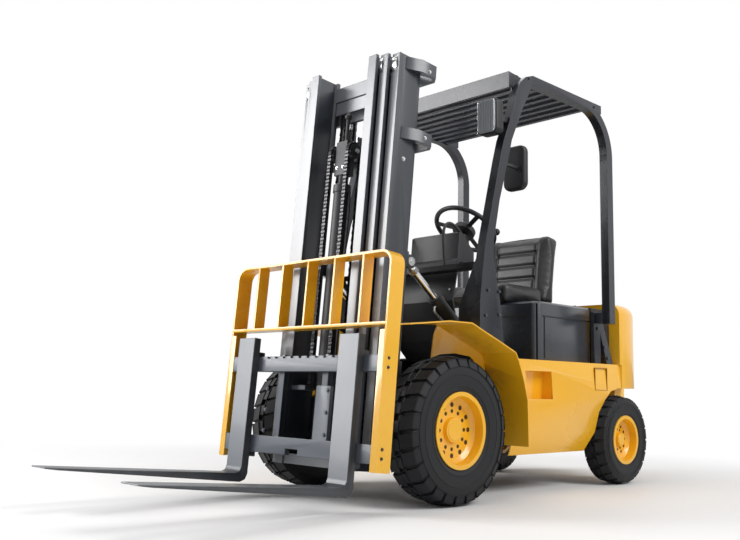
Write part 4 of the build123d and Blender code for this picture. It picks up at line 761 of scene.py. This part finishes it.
# Lift cylinders behind the rails and the free-lift cylinder in the middle: black barrels with
# a gland nut at the top, and chromed rods.
for node in ("lift_barrels", "free_lift_barrel", "crosshead"):
    softened(node, black, 0.0015)
softened("lift_rods", bright, 0.001)
LIFT_U = -0.130
LIFT_Y = 0.218
FREE_LIFT_U = 0.060
bm = bmesh.new()
for sign in (-1, 1):
    for low, high, radius in ((1.600, 1.636, 0.034), (1.636, 1.646, 0.026)):
        add_rod(bm, on_mast(LIFT_U, sign * LIFT_Y, low), on_mast(LIFT_U, sign * LIFT_Y, high), radius, 24)
new_piece("lift_glands", bm, zinc, "outer_mast")
bm = bmesh.new()
for low, high, radius in ((1.160, 1.198, 0.047), (1.198, 1.206, 0.034)):
    add_rod(bm, on_mast(FREE_LIFT_U, 0, low), on_mast(FREE_LIFT_U, 0, high), radius, 32)
new_piece("free_lift_gland", bm, black, "inner_mast")
bm = bmesh.new()
for sign in (-1, 1):
    add_bolt(bm, on_mast(FREE_LIFT_U, sign * 0.087, 1.370), LEFT * sign, 0.010)
    add_bolt(bm, on_mast(0.0895, sign * 0.022, 1.290), FORWARD, 0.006)
new_piece("crosshead_bolts", bm, zinc, "crosshead")

# Leaf chains: stacked oiled steel plates on pins, from the anchors over the sheaves. Each run
# ties two stages, but is built fixed where it stands, with an arc over the sheave on the rear runs.
oily = finish("oiled_chain", (0.12, 0.12, 0.125), darker=0.5, rough=(0.28, 0.45), metal=1.0, peel=0.1)
# Place forwards and sideways, lowest and highest point, and the two bodies of each run
CHAINS = {
    "stage_chain_rear": (-0.132, 0.160, 1.43, 1.752, "outer_mast", "middle_mast"),
    "stage_chain_front": (-0.042, 0.160, -0.18, 1.752, "middle_mast", "inner_mast"),
    "carriage_chain_rear": (0.015, 0.065, 0.30, 1.370, "inner_mast", "crosshead"),
    "carriage_chain_front": (0.105, 0.065, 0.18, 1.370, "crosshead", "carriage"),
}
LINK_PITCH = 0.019
LINK_R = 0.0069
LINK_WAIST = 0.0050
PLATE_PITCH = 0.005
PLATE_HALF = 0.0016
PIN_HALF = 0.0128
PIN_R = 0.003
SHEAVE_R = 0.045
ARC_LINKS = 7


def add_link(bm, place, wide):
    """One leaf-chain link: a row of plates with waisted sides and, if wide, the pin's ends."""
    plates = 5 if wide else 4
    for count in range(plates):
        y = (count - (plates - 1) / 2) * PLATE_PITCH
        low = y - PLATE_HALF
        high = y + PLATE_HALF
        add_rod(bm, place @ Vector((0, low, 0)), place @ Vector((0, high, 0)), LINK_R, 8)
        add_box(bm, (-LINK_WAIST, low, 0), (LINK_WAIST, high, LINK_PITCH * 0.72), place)
    if wide:
        add_rod(bm, place @ Vector((0, -PIN_HALF, 0)), place @ Vector((0, PIN_HALF, 0)), PIN_R, 8)


for node, (u, y_at, low, high, body_a, body_b) in CHAINS.items():
    bm = bmesh.new()
    for sign in (-1, 1):
        for count in range(int((high - low) / LINK_PITCH)):
            v = low + 0.008 + count * LINK_PITCH
            add_link(bm, mast @ Matrix.Translation((u, sign * y_at, v)), count % 2 == 0)
        if "rear" in node:
            sheave = mast @ Matrix.Translation((u + SHEAVE_R, sign * y_at, high))
            for step in range(1, ARC_LINKS + 1):
                turned = Matrix.Rotation(step * math.pi / 7.5, 4, "Y")
                add_link(bm, sheave @ turned @ Matrix.Translation((-SHEAVE_R, 0, 0)), step % 2 == 0)
    chain = new_piece(node + "_links", bm, oily, None, 30)
    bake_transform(chain)
    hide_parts(node)

# Hydraulic hoses: black rubber hose up the back of the mast to the lift cylinders and up the
# inner mast beside the free-lift cylinder, and one bent over beside the cowl.
hose_black = finish("hose_rubber", (0.014, 0.014, 0.015), rough=(0.45, 0.6), peel=0.2, fine=500)


def add_pipe(name, points, radius, material, body):
    """A smooth round pipe through given places, as a curve with a round bevel."""
    curve = bpy.data.curves.new(name, "CURVE")
    curve.dimensions = "3D"
    curve.bevel_depth = radius
    curve.bevel_resolution = 4
    curve.resolution_u = 8
    curve.use_fill_caps = True
    line = curve.splines.new("NURBS")
    line.points.add(len(points) - 1)
    for point, spot in zip(line.points, points):
        point.co = (*spot, 1)
    line.order_u = 3
    line.use_endpoint_u = True
    curve.materials.append(material)
    pipe = bpy.data.objects.new(name, curve)
    scene.collection.objects.link(pipe)
    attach(pipe, body)


# Places forwards, sideways on the left, and up, in the mast's frame
LIFT_HOSE = ((-0.155, 0.150, -0.06), (-0.160, 0.120, 0.1), (-0.160, 0.115, 0.7), (-0.158, 0.115, 1.2),
             (-0.162, 0.125, 1.40))
FREE_LIFT_PIPE = ((0.060, 0.058, -0.14), (0.060, 0.060, 0.3), (0.058, 0.058, 0.9), (0.052, 0.056, 1.12),
                  (0.052, 0.044, 1.17))
LEVER_GUARD = ((-0.30, 0.215, 1.17), (-0.28, 0.215, 1.30), (-0.30, 0.205, 1.41), (-0.38, 0.20, 1.43),
               (-0.45, 0.19, 1.39))
for name, places, radius, body in (("lift_hose", LIFT_HOSE, 0.010, "outer_mast"),
                                   ("free_lift_pipe", FREE_LIFT_PIPE, 0.007, "inner_mast")):
    for sign, side in ((1, "left"), (-1, "right")):
        points = [on_mast(u, sign * y, v) for u, y, v in places]
        add_pipe(f"{name}_{side}", points, radius, hose_black, body)
add_pipe("lever_guard_pipe", [truck(*spot) for spot in LEVER_GUARD], 0.008, hose_black, "chassis")

# Tilt cylinders: black barrels pinned to the frame, chromed rods pinned between the mast's
# ears, with a locking nut on the rod, bright pin caps and a pressure pipe along the barrel.
TILT_FOOT = truck(-0.450, 0, 0.745)
TILT_HEAD = truck(0.090, 0, 1.150)
TILT_Y = 0.300
# Distances from the foot pin along the barrel, and radius, of its two glands and its wiper
TILT_GLANDS = ((0.372, 0.408, 0.038), (0.046, 0.066, 0.038), (0.408, 0.414, 0.030))
# Distances from the foot pin along the barrel and out from it, of the pressure pipe
TILT_PIPE = ((0.385, 0.036), (0.380, 0.058), (0.350, 0.062), (0.25, 0.050), (0.12, 0.048), (0.06, 0.040))
tilt_run = (TILT_HEAD - TILT_FOOT).normalized()
tilt_long = (TILT_HEAD - TILT_FOOT).length
tilt_rise = tilt_run.cross(LEFT) * -1


def on_tilt(along, y, out=0.0):
    """A place along a tilt cylinder from its foot pin, and out from its axis."""
    return TILT_FOOT + LEFT * y + tilt_run * along + tilt_rise * out


softened("tilt_barrels", black, 0.0015)
softened("tilt_rods", bright, 0.0015)
bm = bmesh.new()
for y in (-TILT_Y, TILT_Y):
    for start, end, radius in TILT_GLANDS:
        add_rod(bm, on_tilt(start, y), on_tilt(end, y), radius, 24)
new_piece("tilt_glands", bm, black, "tilt_barrels")
bm = bmesh.new()
for y in (-TILT_Y, TILT_Y):
    add_rod(bm, on_tilt(tilt_long - 0.075, y), on_tilt(tilt_long - 0.050, y), 0.027, 6)
new_piece("tilt_lock_nuts", bm, zinc, "tilt_rods")
bm = bmesh.new()
for sign in (-1, 1):
    for start, end, radius, sides in ((0.331, 0.337, 0.022, 28), (0.337, 0.340, 0.008, 16)):
        add_rod(bm, TILT_HEAD + LEFT * sign * start, TILT_HEAD + LEFT * sign * end, radius, sides)
new_piece("tilt_pin_caps", bm, zinc, "outer_mast")
for sign, side in ((1, "left"), (-1, "right")):
    points = [on_tilt(along, sign * (TILT_Y + 0.004), out) for along, out in TILT_PIPE]
    add_pipe(f"tilt_pipe_{side}", points, 0.006, zinc, "tilt_barrels")

# Carriage and forks: two flame-cut bars on roller brackets, and forged forks hooked over them,
# held by pins at the top. All are slate grey, with a painted highlight on the faces that look
# forwards.
CARRIAGE_SLATE = (0.020, 0.024, 0.031)
FORK_SLATE = (0.026, 0.030, 0.037)
# Paler slate for the fork edges: partly rubbed wear, partly a painted highlight
WORN_HIGHLIT_FORK = (0.20, 0.21, 0.22)
# Painted highlight for the carriage and fork faces that look forwards
FRONT_HIGHLIGHT_SLATE = (0.10, 0.115, 0.14)
carriage_enamel = finish("carriage_enamel", CARRIAGE_SLATE, darker=0.8, rough=(0.3, 0.42), coat=0.1,
                         peel=0.08, broad=4, worn_highlit_edge=WORN_HIGHLIT_SLATE, worn_highlit_amount=0.8)
with_painted_front_highlight(carriage_enamel, FRONT_HIGHLIGHT_SLATE, 0.9)
softened("carriage", carriage_enamel, 0.003)
fork_paint = finish("fork_enamel", FORK_SLATE, darker=0.8, rough=(0.3, 0.42), coat=0.1, peel=0.08,
                    broad=4, worn_highlit_edge=WORN_HIGHLIT_FORK, worn_highlit_amount=0.9)
with_painted_front_highlight(fork_paint, FRONT_HIGHLIGHT_SLATE, 0.9)
softened("forks", fork_paint, 0.004)
bm = bmesh.new()
for sign in (-1, 1):
    for v in (-0.062, 0.262):
        add_rod(bm, on_mast(0.050, sign * 0.174, v), on_mast(0.050, sign * 0.207, v), ROLLER_R, 40)
new_piece("carriage_rollers", bm, roller_steel, "carriage")
FORK_Y = 0.378
FORK_PIN_U = 0.226
bm = bmesh.new()
for sign in (-1, 1):
    for v in (-0.05, 0.05, 0.15):
        add_bolt(bm, on_mast(0.2345, sign * 0.222, v), FORWARD, 0.008)
    for low, high, radius, sides in ((0.335, 0.352, 0.014, 20), (0.352, 0.380, 0.007, 16)):
        add_rod(bm, on_mast(FORK_PIN_U, sign * FORK_Y, low), on_mast(FORK_PIN_U, sign * FORK_Y, high),
                radius, sides)
new_piece("carriage_bolts_and_fork_pins", bm, carriage_enamel, "carriage")

# Load backrest: flat bar bent to a hoop with upright bars, in the bodywork's yellow, bolted to
# the carriage's ends through its feet.
softened("load_backrest", yellow, 0.002)
FOOT_FACE_Y = 0.5698
bm = bmesh.new()
for sign in (-1, 1):
    for v in (0.297, 0.256, -0.092, -0.131):
        add_bolt(bm, on_mast(0.209, sign * FOOT_FACE_Y, v), LEFT * sign, 0.006)
new_piece("backrest_bolts", bm, black, "carriage")

# Seat: a foam cushion and backrest under black vinyl, on the hood and lifting with it. The
# side bolsters stand up, and sewn channels pull the cover in along and across the pads.
SEAT_BLACK = (0.013, 0.013, 0.015)
vinyl = finish("seat_vinyl", SEAT_BLACK, darker=0.8, rough=(0.32, 0.46), peel=0.35, broad=8,
               fine=260, specular=0.5)
CUSHION = {"x": (-1.168, -0.806), "y": 0.234, "z": (1.032, 1.140)}
BACKREST_AT = (-1.258, 0, 1.262)
BACKREST_SIZE = (0.420, 0.470, 0.112)
BACKREST_LEAN = math.radians(-8)
# Channels, each with the pad's side that it crosses, its place on it and its reach
SIDE_CHANNELS = [(1, -0.150, 0.30), (1, 0.150, 0.30)]
CUSHION_CHANNELS = SIDE_CHANNELS + [(0, -0.07, 0.15), (0, 0.05, 0.15)]
BACKREST_CHANNELS = SIDE_CHANNELS + [(0, -0.11, 0.15), (0, -0.03, 0.15), (0, 0.05, 0.15)]
CHANNEL_HALF = 0.020
CHANNEL_DEEP = 0.012
BOLSTER_FROM = 0.135
BOLSTER_RUN = 0.04
BOLSTER_RISE = 0.016
PUFF_MOST = 0.009
CLOTH_FRAMES = 12


def live_mesh(piece):
    """The mesh that a piece's modifiers give now."""
    return bpy.data.meshes.new_from_object(piece.evaluated_get(bpy.context.evaluated_depsgraph_get()))


def puff_up(pad):
    """Fills a pad from inside as cloth under pressure, and holds each point near its start."""
    even = live_mesh(pad)
    pad.modifiers.clear()
    pad.data = even
    still = {v.index: v.co.copy() for v in even.vertices}
    cloth = pad.modifiers.new("stuffing", "CLOTH")
    cloth.settings.use_pressure = True
    cloth.settings.uniform_pressure_force = 3
    cloth.settings.effector_weights.gravity = 0
    cloth.point_cache.frame_start = 1
    cloth.point_cache.frame_end = CLOTH_FRAMES + 2
    for moment in range(1, CLOTH_FRAMES + 1):
        scene.frame_set(moment)
    puffed = live_mesh(pad)
    pad.modifiers.clear()
    for vert in puffed.vertices:
        moved = vert.co - still[vert.index]
        if moved.length > PUFF_MOST:
            vert.co = still[vert.index] + moved.normalized() * PUFF_MOST
    pad.data = puffed
    scene.frame_set(1)


def padded_block(name, place, size, channels, node):
    """A stuffed pad: a rounded block puffed up, sunk between its bolsters and at its channels."""
    bm = bmesh.new()
    bmesh.ops.create_cube(bm, size=1, matrix=Matrix.Diagonal((*size, 1)))
    bmesh.ops.bevel(bm, geom=bm.edges[:], offset=min(size) * 0.26, segments=4, profile=0.5,
                    affect="EDGES", material=-1)
    bmesh.ops.transform(bm, matrix=place, verts=bm.verts)
    pad = new_piece(name, bm, vinyl, "hood", smooth=0)
    bpy.context.view_layer.objects.active = pad
    grid = pad.modifiers.new("even_mesh", "REMESH")
    grid.mode = "VOXEL"
    grid.voxel_size = 0.006
    puff_up(pad)
    inverse = place.inverted()
    for vert in pad.data.vertices:
        local = inverse @ vert.co
        if local.z < 0:
            continue
        bolster = min(max((abs(local.y) - BOLSTER_FROM) / BOLSTER_RUN, 0), 1)
        sink = BOLSTER_RISE * (1 - bolster * bolster * (3 - 2 * bolster))
        for axis, at, reach in channels:
            gap = abs(local[axis] - at)
            if gap < CHANNEL_HALF and abs(local[1 - axis]) < reach:
                sink += CHANNEL_DEEP * (1 - gap / CHANNEL_HALF) ** 1.5
        vert.co = place @ Vector((local.x, local.y, local.z - sink))
    pad.data.polygons.foreach_set("use_smooth", [True] * len(pad.data.polygons))
    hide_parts(node)


cushion_size = (CUSHION["x"][1] - CUSHION["x"][0], 2 * CUSHION["y"], CUSHION["z"][1] - CUSHION["z"][0])
cushion_at = Matrix.Translation(truck(sum(CUSHION["x"]) / 2, 0, sum(CUSHION["z"]) / 2))
padded_block("seat_cushion_padded", cushion_at, cushion_size, CUSHION_CHANNELS, "seat_cushion")
backrest_at = (Matrix.Translation(truck(*BACKREST_AT)) @ Matrix.Rotation(BACKREST_LEAN, 4, "Y")
               @ Matrix.Rotation(math.pi / 2, 4, "Y"))
padded_block("seat_backrest_padded", backrest_at, BACKREST_SIZE, BACKREST_CHANNELS, "seat_backrest")
